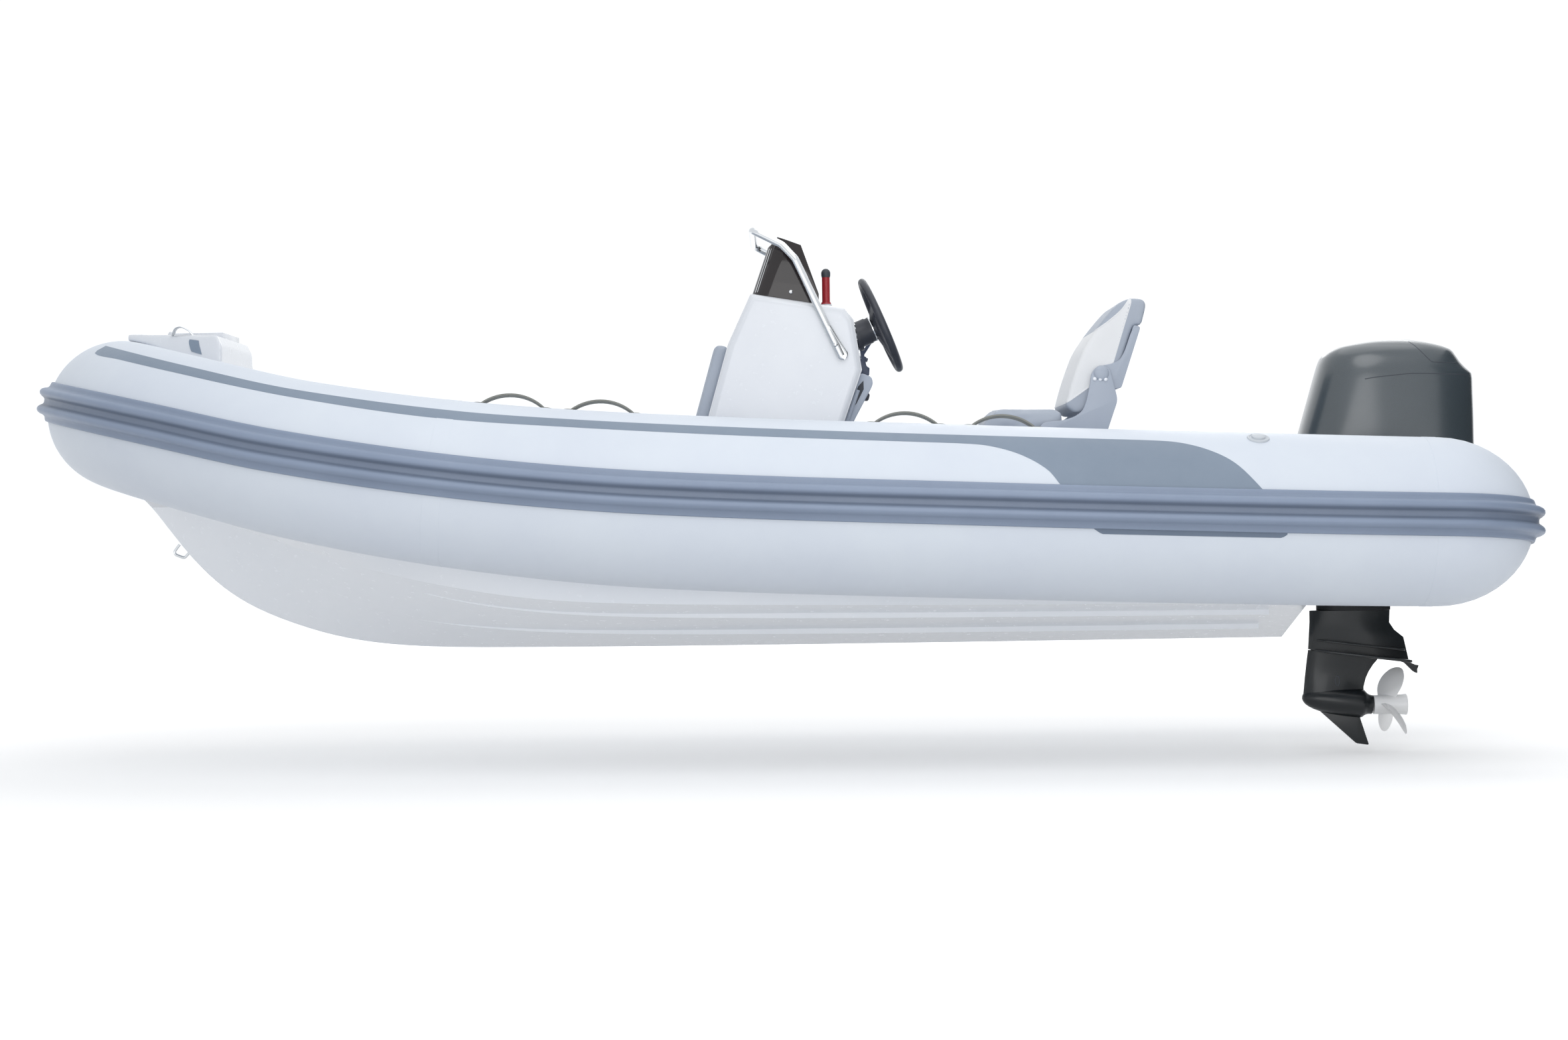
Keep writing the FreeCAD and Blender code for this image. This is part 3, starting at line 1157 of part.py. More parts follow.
def midsection():
    """Leg from the tray down to the gearcase, with the two steering yokes."""
    top = COWL_FOOT_Z - FACE_GAP - TRAY_DEPTH - FACE_GAP
    levels = [(top, LEG_FRONT_X - 16, LEG_AFT_X - 40, LEG_HALF_WIDTH + 26),
              (200, LEG_FRONT_X - 6, LEG_AFT_X - 10, LEG_HALF_WIDTH + 10),
              (40, LEG_FRONT_X, LEG_AFT_X, LEG_HALF_WIDTH),
              (LEG_JOINT_Z, LEG_FRONT_X, LEG_AFT_X, LEG_HALF_WIDTH)]
    leg = loft([leg_plan(front, aft, wide, z) for z, front, aft, wide in levels])
    yokes = []
    for z0, z1 in ((SWIVEL_TOP_Z + 0.5, top), (SWIVEL_FOOT_Z - 26, SWIVEL_FOOT_Z - 0.5)):
        yokes.append(box(LEG_FRONT_X - 60, STEER_X, -26, 26, z0, z1))
        yokes.append(rod((STEER_X, 0, z0), (STEER_X, 0, z1), 26.0))
    pin = rod((STEER_X, 0, SWIVEL_FOOT_Z - 20), (STEER_X, 0, SWIVEL_TOP_Z + 6), STEER_PIN_RADIUS)
    return fuse([leg, pin] + yokes)


def powerhead():
    """Engine block inside the cowl."""
    return box(COWL_AFT_X + 110, COWL_FRONT_X - 130, -95, 95, COWL_FOOT_Z, 700)


def hollow_cowl():
    """Cowl with the space that the powerhead fills."""
    space = box(COWL_AFT_X + 100, COWL_FRONT_X - 120, -105, 105, COWL_FOOT_Z - 1, 708)
    return keep_largest(cowl().cut(space))


def gearcase():
    """Lower unit: strut, plates, torpedo and skeg."""
    top = LEG_JOINT_Z - FACE_GAP
    upper = loft([leg_plan(LEG_FRONT_X + 6, LEG_AFT_X, LEG_HALF_WIDTH, top),
                  leg_plan(LEG_FRONT_X + 14, LEG_AFT_X - 18, LEG_HALF_WIDTH - 6, -170),
                  leg_plan(LEG_FRONT_X + 16, LEG_AFT_X - 40, LEG_HALF_WIDTH - 14, PLATE_Z)])
    plate_points = [(LEG_FRONT_X + 8, 0.0), (LEG_FRONT_X - 40, 60.0),
                    (LEG_FRONT_X - 150, PLATE_HALF_WIDTH), (PLATE_AFT_X + 20, PLATE_HALF_WIDTH),
                    (PLATE_AFT_X, PLATE_HALF_WIDTH - 24)]
    outline = plate_points + [(x, -y) for x, y in reversed(plate_points[1:])]
    plate = plan_prism(outline, PLATE_Z - PLATE_THICKNESS, PLATE_Z)
    strut_aft = TORPEDO_AFT_X + 5
    strut = loft([leg_plan(LEG_FRONT_X + 18, strut_aft - 54, 38, PLATE_Z - 2),
                  leg_plan(LEG_FRONT_X + 26, strut_aft, 30, (PLATE_Z + PROP_AXIS_Z) / 2),
                  leg_plan(LEG_FRONT_X + 34, strut_aft + 6, 34, PROP_AXIS_Z)])
    nose = TORPEDO_NOSE_X
    radius = TORPEDO_RADIUS
    curve = Part.BSplineCurve()
    curve.interpolate([Vector(nose, 0, PROP_AXIS_Z), Vector(nose - 14, 0, PROP_AXIS_Z + radius * 0.5),
                       Vector(nose - 60, 0, PROP_AXIS_Z + radius * 0.92),
                       Vector(nose - 120, 0, PROP_AXIS_Z + radius),
                       Vector(TORPEDO_AFT_X, 0, PROP_AXIS_Z + radius * 0.86)])
    edges = [curve.toShape(),
             Part.LineSegment(Vector(TORPEDO_AFT_X, 0, PROP_AXIS_Z + radius * 0.86),
                              Vector(TORPEDO_AFT_X, 0, PROP_AXIS_Z)).toShape(),
             Part.LineSegment(Vector(TORPEDO_AFT_X, 0, PROP_AXIS_Z),
                              Vector(nose, 0, PROP_AXIS_Z)).toShape()]
    torpedo = Part.Face(Part.Wire(edges)).revolve(Vector(nose, 0, PROP_AXIS_Z), Vector(1, 0, 0), 360)
    tip_z = PROP_AXIS_Z - SKEG_DEPTH
    skeg = side_prism([(nose - 8, PROP_AXIS_Z + 4), (TORPEDO_AFT_X + 67, tip_z + 8),
                       (TORPEDO_AFT_X + 49, tip_z), (TORPEDO_AFT_X + 12, tip_z),
                       (TORPEDO_AFT_X + 35, PROP_AXIS_Z - 30),
                       (TORPEDO_AFT_X + 35, PROP_AXIS_Z + 4)], -6, 6)
    solid = fuse([upper, plate, strut, torpedo, skeg])
    shaft_bore = rod((TORPEDO_AFT_X - 1, 0, PROP_AXIS_Z), (TORPEDO_AFT_X + 40, 0, PROP_AXIS_Z),
                     PROP_SHAFT_RADIUS + PIN_GAP)
    return keep_largest(solid.cut(shaft_bore))


def trim_tab():
    """Small fin under the aft end of the plate."""
    z = PLATE_Z - PLATE_THICKNESS - FACE_GAP
    x = PLATE_AFT_X
    return side_prism([(x + 66, z), (x + 8, z), (x - 26, z - 52), (x - 18, z - 86),
                       (x - 6, z - 86), (x + 30, z - 44)], -6, 6)


def propeller():
    """Three-bladed propeller on its shaft."""
    aft = TORPEDO_AFT_X - MOVE_GAP / 2
    hub = Part.makeCone(PROP_HUB_RADIUS, PROP_HUB_RADIUS - 5, PROP_HUB_LENGTH,
                        Vector(aft, 0, PROP_AXIS_Z), Vector(-1, 0, 0))
    shaft = rod((TORPEDO_AFT_X + 36, 0, PROP_AXIS_Z), (aft - 10, 0, PROP_AXIS_Z), PROP_SHAFT_RADIUS)
    solids = [hub, shaft]
    for index in range(PROP_BLADES):
        blade = prop_blade(aft - PROP_HUB_LENGTH * 0.46)
        blade.rotate(Vector(0, 0, PROP_AXIS_Z), Vector(1, 0, 0), 360 / PROP_BLADES * index)
        solids.append(blade)
    return fuse(solids)


def prop_blade(middle_x):
    """One twisted blade, drawn upright from the hub."""
    wires = []
    for share, chord, rake in ((0.2, 62, 0), (0.45, 96, -6), (0.72, 104, -14), (0.92, 74, -22),
                               (1.0, 34, -26)):
        reach = PROP_RADIUS * share
        pitch = math.atan2(0.62 * PROP_RADIUS, reach + 12)
        along = Vector(math.sin(pitch), math.cos(pitch), 0)
        thick = Vector(math.cos(pitch), -math.sin(pitch), 0)
        centre = Vector(middle_x + rake, 0, PROP_AXIS_Z + reach)
        thickness = 2 + 3 * (1 - share)
        ellipse = Part.Ellipse(Vector(0, 0, 0), chord / 2, thickness).toShape()
        ellipse.Placement = FreeCAD.Placement(frame_matrix(along, -thick, centre))
        wires.append(Part.Wire([ellipse]))
    return loft(wires)


def ram_direction():
    """Direction from the tilt ram's foot pin to its rod's eye."""
    return Vector(RAM_EYE_X - RAM_FOOT_X, 0, RAM_EYE_Z - RAM_FOOT_Z).normalize()


def ram_barrel():
    """Barrel of the tilt ram on its foot pin."""
    foot = Vector(RAM_FOOT_X, 0, RAM_FOOT_Z)
    axis = ram_direction()
    barrel = Part.makeCylinder(RAM_RADIUS, 118, foot + axis * 14, axis)
    eye = rod((RAM_FOOT_X, -17, RAM_FOOT_Z), (RAM_FOOT_X, 17, RAM_FOOT_Z), 18.0)
    pin_bore = rod((RAM_FOOT_X, -18, RAM_FOOT_Z), (RAM_FOOT_X, 18, RAM_FOOT_Z), 9.0 + PIN_GAP)
    rod_bore = Part.makeCylinder(RAM_ROD_RADIUS + PIN_GAP, 110, foot + axis * 30, axis)
    return fuse([barrel, eye]).cut(pin_bore).cut(rod_bore)


def ram_rod():
    """Rod of the tilt ram, ending in its eye."""
    foot = Vector(RAM_FOOT_X, 0, RAM_FOOT_Z)
    axis = ram_direction()
    eye_centre = Vector(RAM_EYE_X, 0, RAM_EYE_Z)
    length = (eye_centre - foot).Length
    stem = Part.makeCylinder(RAM_ROD_RADIUS, length - 34 - 8, foot + axis * 34, axis)
    eye = rod((RAM_EYE_X, -10, RAM_EYE_Z), (RAM_EYE_X, 10, RAM_EYE_Z), 13.0)
    return fuse([stem, eye])


def main():
    """Build every node and write it."""
    os.makedirs("parts", exist_ok=True)
    seats = tube_seats()
    side = tube_side()
    export("tube_port", side)
    export("tube_starboard", mirrored(side))
    export("tube_bow", tube_bow())
    export("rub_rail", rub_rail(seats))
    hull, transom, bow_deck = hull_parts(seats)
    export("hull", hull)
    export("transom", transom)
    export("bow_deck", bow_deck)
    export("deck_liner", deck_liner(seats))
    step = bow_step(seats)
    export("bow_step", step)
    export("bow_lid", bow_lid())
    export("bow_chocks", pair(bow_chock(step)))
    export("bow_eye", bow_eye(hull))
    port_straps = straps(seats[0])
    export("grab_straps_port", port_straps)
    export("grab_straps_starboard", mirrored(port_straps))
    export("tube_valves", pair(tube_valve(seats[0])))
    export("stern_tow_eyes", tow_eyes())
    export("console_shell", console_shell())
    export("console_door", console_door())
    export("windscreen", windscreen())
    export("guard_rail", guard_rail())
    export("front_pad", front_pad())
    export("front_seat_base", front_seat_base())
    export("front_seat_cushion", front_seat_cushion())
    export("helm_boss", helm_boss())
    export("steering_wheel", steering_wheel())
    export("switch_box", switch_box())
    export("red_grip", red_grip())
    export("helm_seat_base", helm_seat_base())
    export("helm_cushion", helm_cushion())
    export("seat_brackets", seat_brackets())
    export("seat_back_pad", seat_back_pad())
    export("seat_back_shell", seat_back_shell())
    export("clamp_bracket", clamp_bracket())
    export("swivel_bracket", swivel_bracket())
    export("cowl", hollow_cowl())
    export("cowl_tray", cowl_tray())
    export("powerhead", powerhead())
    export("midsection", midsection())
    export("gearcase", gearcase())
    export("trim_tab", trim_tab())
    export("propeller", propeller())
    export("ram_barrel", ram_barrel())
    export("ram_rod", ram_rod())


main()
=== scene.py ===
"""Studio picture of a rigid inflatable boat with its console, seats and outboard motor.

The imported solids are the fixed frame. This script dresses them with finishes, builds the soft
goods and the finer skins over them, and lights the boat on a plain pale floor.
"""

import logging
import math
from dataclasses import dataclass
from enum import Enum
from typing import Any, Callable, Sequence

import bpy
from mathutils import Matrix, Vector


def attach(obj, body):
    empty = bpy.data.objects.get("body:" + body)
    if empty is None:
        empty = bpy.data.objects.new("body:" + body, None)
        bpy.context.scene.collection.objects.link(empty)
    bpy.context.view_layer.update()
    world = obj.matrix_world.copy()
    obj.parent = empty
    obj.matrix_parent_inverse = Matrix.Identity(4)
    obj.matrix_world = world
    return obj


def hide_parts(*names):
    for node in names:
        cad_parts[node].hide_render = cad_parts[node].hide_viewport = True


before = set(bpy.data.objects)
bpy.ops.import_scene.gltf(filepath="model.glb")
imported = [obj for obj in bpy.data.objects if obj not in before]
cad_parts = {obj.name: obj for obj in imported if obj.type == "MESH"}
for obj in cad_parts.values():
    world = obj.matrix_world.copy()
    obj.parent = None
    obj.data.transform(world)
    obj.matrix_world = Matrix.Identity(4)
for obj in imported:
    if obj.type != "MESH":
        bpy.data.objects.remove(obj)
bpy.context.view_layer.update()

log = logging.getLogger("boat")

MM = 0.001
HULL_BODY = "boat"

# short names for types that come up often
Pair = tuple[float, float]
Spot = tuple[float, float, float]
Table = Sequence[Pair]
Obj = bpy.types.Object
Socket = bpy.types.NodeSocket
Material = bpy.types.Material
Owner = Material | bpy.types.World


# Tools for meshes


def smooth_value(table: Table, x: float) -> float:
    """Value of a smooth curve through points.

    Args:
        table: Points (x, value) in rising x.
        x: Where the value is wanted.

    Returns:
        The value, held level past both ends.
    """
    if x <= table[0][0]:
        return table[0][1]
    if x >= table[-1][0]:
        return table[-1][1]
    last = len(table) - 1
    slopes = [(table[min(i + 1, last)][1] - table[max(i - 1, 0)][1])
              / (table[min(i + 1, last)][0] - table[max(i - 1, 0)][0]) for i in range(last + 1)]
    index = next(i for i in range(last) if x <= table[i + 1][0])
    (x0, y0), (x1, y1) = table[index], table[index + 1]
    span = x1 - x0
    t = (x - x0) / span
    return ((2 * t**3 - 3 * t**2 + 1) * y0 + (t**3 - 2 * t**2 + t) * span * slopes[index]
            + (3 * t**2 - 2 * t**3) * y1 + (t**3 - t**2) * span * slopes[index + 1])


def straight_value(table: Table, x: float) -> float:
    """Value on straight lines between points.

    Args:
        table: Points (x, value) in rising x.
        x: Where the value is wanted.

    Returns:
        The value, held level past both ends.
    """
    for (x0, y0), (x1, y1) in zip(table, table[1:]):
        if x <= x1:
            return y0 + (y1 - y0) * max(0.0, (x - x0) / (x1 - x0))
    return table[-1][1]


def spread(first: float, last: float, count: int) -> list[float]:
    """Evenly spaced values from first to last, with count steps."""
    return [first + (last - first) * i / count for i in range(count + 1)]


def squared(value: float, power: float) -> float:
    """A sine or cosine for an outline that is squarer than an oval where power is above 2."""
    return math.copysign(abs(value) ** (2 / power), value)


def to_side(points: Sequence[Vector], side: int) -> list[Vector]:
    """Points given for port, mirrored to starboard where side is -1."""
    return [Vector((p.x, p.y * side, p.z)) for p in points]


def choose(obj: Obj) -> Obj:
    """Makes one object the only selected and the active one, in object mode.

    Args:
        obj: The object.

    Returns:
        The same object.
    """
    if bpy.context.object and bpy.context.object.mode != "OBJECT":
        bpy.ops.object.mode_set(mode="OBJECT")
    bpy.ops.object.select_all(action="DESELECT")
    obj.select_set(True)
    bpy.context.view_layer.objects.active = obj
    return obj


def edit(obj: Obj, work: Callable[[], Any]) -> None:
    """Runs operators on a whole mesh in edit mode.

    Args:
        obj: The object to edit.
        work: What to do with all of the mesh selected.
    """
    choose(obj)
    bpy.ops.object.mode_set(mode="EDIT")
    bpy.ops.mesh.select_all(action="SELECT")
    work()
    bpy.ops.object.mode_set(mode="OBJECT")


def copied(node: str) -> Obj:
    """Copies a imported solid.

    Args:
        node: The solid's name.

    Returns:
        The copy, with its own mesh.
    """
    choose(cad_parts[node])
    bpy.ops.object.duplicate()
    return bpy.context.active_object


def merge_flat_faces() -> None:
    """In edit mode, makes one face of the triangles of each flat side of a solid."""
    bpy.ops.mesh.remove_doubles(threshold=0.00005)
    bpy.ops.mesh.dissolve_limited(angle_limit=math.radians(0.6))


def close_up(capped: bool) -> None:
    """In edit mode, joins a lofted mesh's seams, fills its ends and turns its faces outwards.

    Args:
        capped: Whether the ends are filled.
    """
    bpy.ops.mesh.remove_doubles(threshold=0.00001)
    if capped:
        bpy.ops.mesh.fill_holes(sides=0)
    bpy.ops.mesh.normals_make_consistent(inside=False)


def modify(obj: Obj, kind: str, **settings: Any) -> Obj:
    """Adds a modifier and applies it.

    Args:
        obj: The object.
        kind: The modifier's type.
        settings: Its settings by name.

    Returns:
        The same object.
    """
    choose(obj)
    modifier = obj.modifiers.new(kind.title(), kind)
    for key, value in settings.items():
        setattr(modifier, key, value)
    bpy.ops.object.modifier_apply(modifier=modifier.name)
    return obj


def settle(obj: Obj) -> Obj:
    """Puts an object's place and turn into its mesh, so that it sits at the origin.

    Args:
        obj: The object.

    Returns:
        The same object.
    """
    choose(obj)
    bpy.ops.object.transform_apply(location=True, rotation=True, scale=True)
    return obj


def finish_piece(obj: Obj, name: str, finish: "Finish", body: str,
                 angle: float = 40.0) -> Obj:
    """Names a finished mesh, gives it its finish and sets it on its body.

    Args:
        obj: The mesh object.
        name: The piece's name.
        finish: The finish it wears.
        body: The body it rides on.
        angle: Edges sharper than this many degrees stay crisp.

    Returns:
        The piece.
    """
    settle(obj)
    obj.name = name
    obj.data.name = name
    bpy.ops.object.shade_smooth_by_angle(angle=math.radians(angle))
    wear(obj, finish)
    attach(obj, body)
    log.info("piece %s: %d faces", name, len(obj.data.polygons))
    return obj


def loft(rings: Sequence[Sequence[Vector]], closed: bool = True, capped: bool = False) -> Obj:
    """Surface through a row of rings or lines that have the same number of points.

    Args:
        rings: The rings, in order.
        closed: Whether each ring closes on itself.
        capped: Whether the first and last ring are filled.

    Returns:
        The new mesh object, with its own UV map: across the ring, then along the row.
    """
    around = len(rings[0]) - (0 if closed else 1)
    bpy.ops.object.select_all(action="DESELECT")
    bpy.ops.mesh.primitive_grid_add(x_subdivisions=around, y_subdivisions=len(rings) - 1, size=1)
    obj = bpy.context.active_object
    flat: list[float] = []
    for ring in rings:
        for point in [*ring, ring[0]] if closed else ring:
            flat.extend(point)
    obj.data.vertices.foreach_set("co", flat)
    obj.data.update()
    if closed or capped:
        edit(obj, lambda: close_up(capped))
    return obj


def flow(points: Sequence[Sequence[float]], steps: int = 6) -> list[Vector]:
    """Smooth line through points.

    Args:
        points: The points, as tuples or vectors of any length.
        steps: Parts between two points.

    Returns:
        The points of the line, the given ones among them.
    """
    knots = [Vector(p) for p in points]
    line = []
    for i in range(len(knots) - 1):
        a, b = knots[i], knots[i + 1]
        start = (b - knots[i - 1]) / 2 if i else b - a
        end = (knots[i + 2] - a) / 2 if i + 2 < len(knots) else b - a
        for j in range(steps):
            t = j / steps
            line.append(a * (2 * t**3 - 3 * t**2 + 1) + start * (t**3 - 2 * t**2 + t)
                        + b * (3 * t**2 - 2 * t**3) + end * (t**3 - t**2))
    return line + [knots[-1]]


def rounded(outline: Sequence[Sequence[float]], radius: float, steps: int = 4) -> list[Vector]:
    """Closed outline with its corners rounded.

    Args:
        outline: Its corners, as pairs in metres.
        radius: How far from a corner the rounding starts.
        steps: Parts of each rounding.

    Returns:
        The points of the rounded outline.
    """
    corners = [Vector(p) for p in outline]
    count = len(corners)
    line = []
    for i, corner in enumerate(corners):
        ends = []
        for other in (corners[i - 1], corners[(i + 1) % count]):
            reach = other - corner
            ends.append(corner + reach.normalized() * min(radius, 0.45 * reach.length))
        for t in spread(0.0, 1.0, steps):
            line.append(ends[0] * (1 - t) ** 2 + corner * (2 * t * (1 - t)) + ends[1] * t**2)
    return line


def block(outline: Sequence[Sequence[float]], y0: float, y1: float, soft: float = 0.0,
          segments: int = 3) -> Obj:
    """Solid between two y values of an outline drawn from the side.

    Args:
        outline: Points (x, z) in metres.
        y0: Where it starts.
        y1: Where it ends.
        soft: Radius on its edges.
        segments: Faces across that radius.

    Returns:
        The new mesh object.
    """
    obj = loft([[Vector((x, y, z)) for x, z in outline] for y in (y0, y1)], capped=True)
    if soft:
        modify(obj, "BEVEL", width=soft, segments=segments, limit_method="ANGLE",
               angle_limit=math.radians(28))
    return obj


def lathe(profile: Table, place: Vector, axis: Vector, around: int = 40) -> Obj:
    """Turned solid.

    Args:
        profile: Points (distance along the axis, radius).
        place: Where the axis starts.
        axis: Its direction.
        around: Faces round it.

    Returns:
        The new mesh object.
    """
    turn = axis.to_track_quat("Z", "Y")
    rings = []
    for along, radius in profile:
        rings.append([place + turn @ Vector((radius * math.cos(a), radius * math.sin(a), along))
                      for a in spread(0.0, 2 * math.pi, around)[:-1]])
    return loft(rings, capped=True)


def sweep(path: Sequence[Vector], across: Vector, wide: Sequence[float], thick: Sequence[float],
          power: float = 2.0, around: int = 20) -> Obj:
    """Bar with an oval section along a path.

    Args:
        path: Its middle line.
        across: Direction of its width.
        wide: Half width at each point, or one for all.
        thick: Half thickness at each point, or one for all.
        power: 2 for an oval, more for a squarer section.
        around: Faces round it.

    Returns:
        The new mesh object.
    """
    last = len(path) - 1
    rings = []
    for i, point in enumerate(path):
        ahead = (path[min(i + 1, last)] - path[max(i - 1, 0)]).normalized()
        side = (across - ahead * across.dot(ahead)).normalized()
        out = side.cross(ahead)
        w, h = wide[i % len(wide)], thick[i % len(thick)]
        ring = []
        for a in spread(0.0, 2 * math.pi, around)[:-1]:
            c, s = math.cos(a), math.sin(a)
            ring.append(point + side * (w * squared(c, power)) + out * (h * squared(s, power)))
        rings.append(ring)
    return loft(rings, capped=True)


def land(target: Obj, x: float, z: float, side: int) -> tuple[Vector, Vector] | None:
    """Where a level ray from port or starboard meets a mesh that sits at the origin.

    Args:
        target: The mesh object.
        x: Place along the boat.
        z: Height.
        side: 1 from port, -1 from starboard.

    Returns:
        The point and the normal there, or None for a miss.
    """
    hit, point, normal, _ = target.ray_cast(Vector((x, side * 1.6, z)), Vector((0, -side, 0)))
    return (point, normal) if hit else None


def drawn_line(target: Obj, points: Table, side: int, width: float, lift: float,
               steps: int = 8) -> Obj:
    """Narrow bead that lies on a mesh along a line drawn from the side.

    Args:
        target: The mesh that it lies on.
        points: The line as (x, z) in metres.
        side: 1 for port, -1 for starboard.
        width: Its width.
        lift: How far it stands off.
        steps: Parts between two points.

    Returns:
        The new mesh object.
    """
    bpy.context.view_layer.update()
    landed = [land(target, x, z, side) for x, z in flow(points, steps)]
    found = [spot for spot in landed if spot]
    last = len(found) - 1
    # the bead's section, as shares of its width and its height
    section = ((-0.5, -1.0), (-0.36, 0.7), (0.0, 1.0), (0.36, 0.7), (0.5, -1.0))
    rings = []
    for i, (point, normal) in enumerate(found):
        ahead = (found[min(i + 1, last)][0] - found[max(i - 1, 0)][0]).normalized()
        across = normal.cross(ahead).normalized()
        rings.append([point + across * (width * a) + normal * (lift * b) for a, b in section])
    return loft(rings, capped=True)


def joined(parts: Sequence[Obj]) -> Obj:
    """Joins meshes into one object.

    Args:
        parts: The mesh objects.

    Returns:
        The one object.
    """
    choose(parts[0])
    for part in parts:
        part.select_set(True)
    bpy.ops.object.join()
    return bpy.context.active_object


def both_sides(make: Callable[[int], Obj]) -> Obj:
    """Makes a thing for port and for starboard and joins them."""
    return joined([make(1), make(-1)])


# Tools for materials

# size of the broad patches where the shade drifts
PATCH_MM = 435.0
# size of the scuffs that make the gloss uneven
SCUFF_MM = 29.4
# paint flakes, drawn far coarser than real ones, so that they show
FLAKE_MM = 0.714
# colour of settled dust
DUST = "9a958a"


def linear(code: str) -> tuple[float, float, float, float]:
    """Linear colour of an sRGB hex value.

    Args:
        code: Six hex digits.

    Returns:
        Red, green, blue and alpha.
    """
    parts = [int(code[i:i + 2], 16) / 255 for i in (0, 2, 4)]
    red, green, blue = (c / 12.92 if c <= 0.04045 else ((c + 0.055) / 1.055) ** 2.4
                        for c in parts)
    return red, green, blue, 1.0


def add_node(material: Owner, kind: str, settings: dict[str, Any] | None = None,
             links: dict[Any, Socket] | None = None) -> bpy.types.Node:
    """Adds a node with its settings and links.

    Args:
        material: The material or world that gets it.
        kind: The node's type without its prefix.
        settings: Properties by name, and values by the name or number of an input.
        links: Sockets to join to the named or numbered inputs.

    Returns:
        The node.
    """
    tree = material.node_tree
    node = tree.nodes.new("ShaderNode" + kind)
    for key, value in (settings or {}).items():
        if isinstance(key, str) and hasattr(node, key) and key not in node.inputs:
            setattr(node, key, value)
        else:
            node.inputs[key].default_value = value
    for key, socket in (links or {}).items():
        tree.links.new(socket, node.inputs[key])
    return node


def ramp(material: Material, factor: Socket,
         stops: Sequence[tuple[float, tuple[float, float, float, float]]]) -> Socket:
    """Adds a colour ramp.

    Args:
        material: The material that gets it.
        factor: What drives it.
        stops: Places and colours.

    Returns:
        The ramp's colour socket.
    """
    node = add_node(material, "ValToRGB", links={"Fac": factor})
    elements = node.color_ramp.elements
    while len(elements) < len(stops):
        elements.new(0.5)
    for element, (place, colour) in zip(elements, stops):
        element.position = place
        element.color = colour
    return node.outputs["Color"]


class Grain(Enum):
    """What breaks up the light on a surface."""

    PEEL = "the faint orange peel of sprayed or moulded gloss"
    WEAVE = "the cloth that shows through a coated fabric"
    LEATHER = "the pebbled grain pressed into vinyl"
    EXTRUDED = "fine lines along an extruded rubber"
    SAND = "the sand-cast or bead-blasted skin of a casting"
    BRUSHED = "fine lines from a polishing belt"
    DIAMOND = "the raised diamonds of a moulded deck"


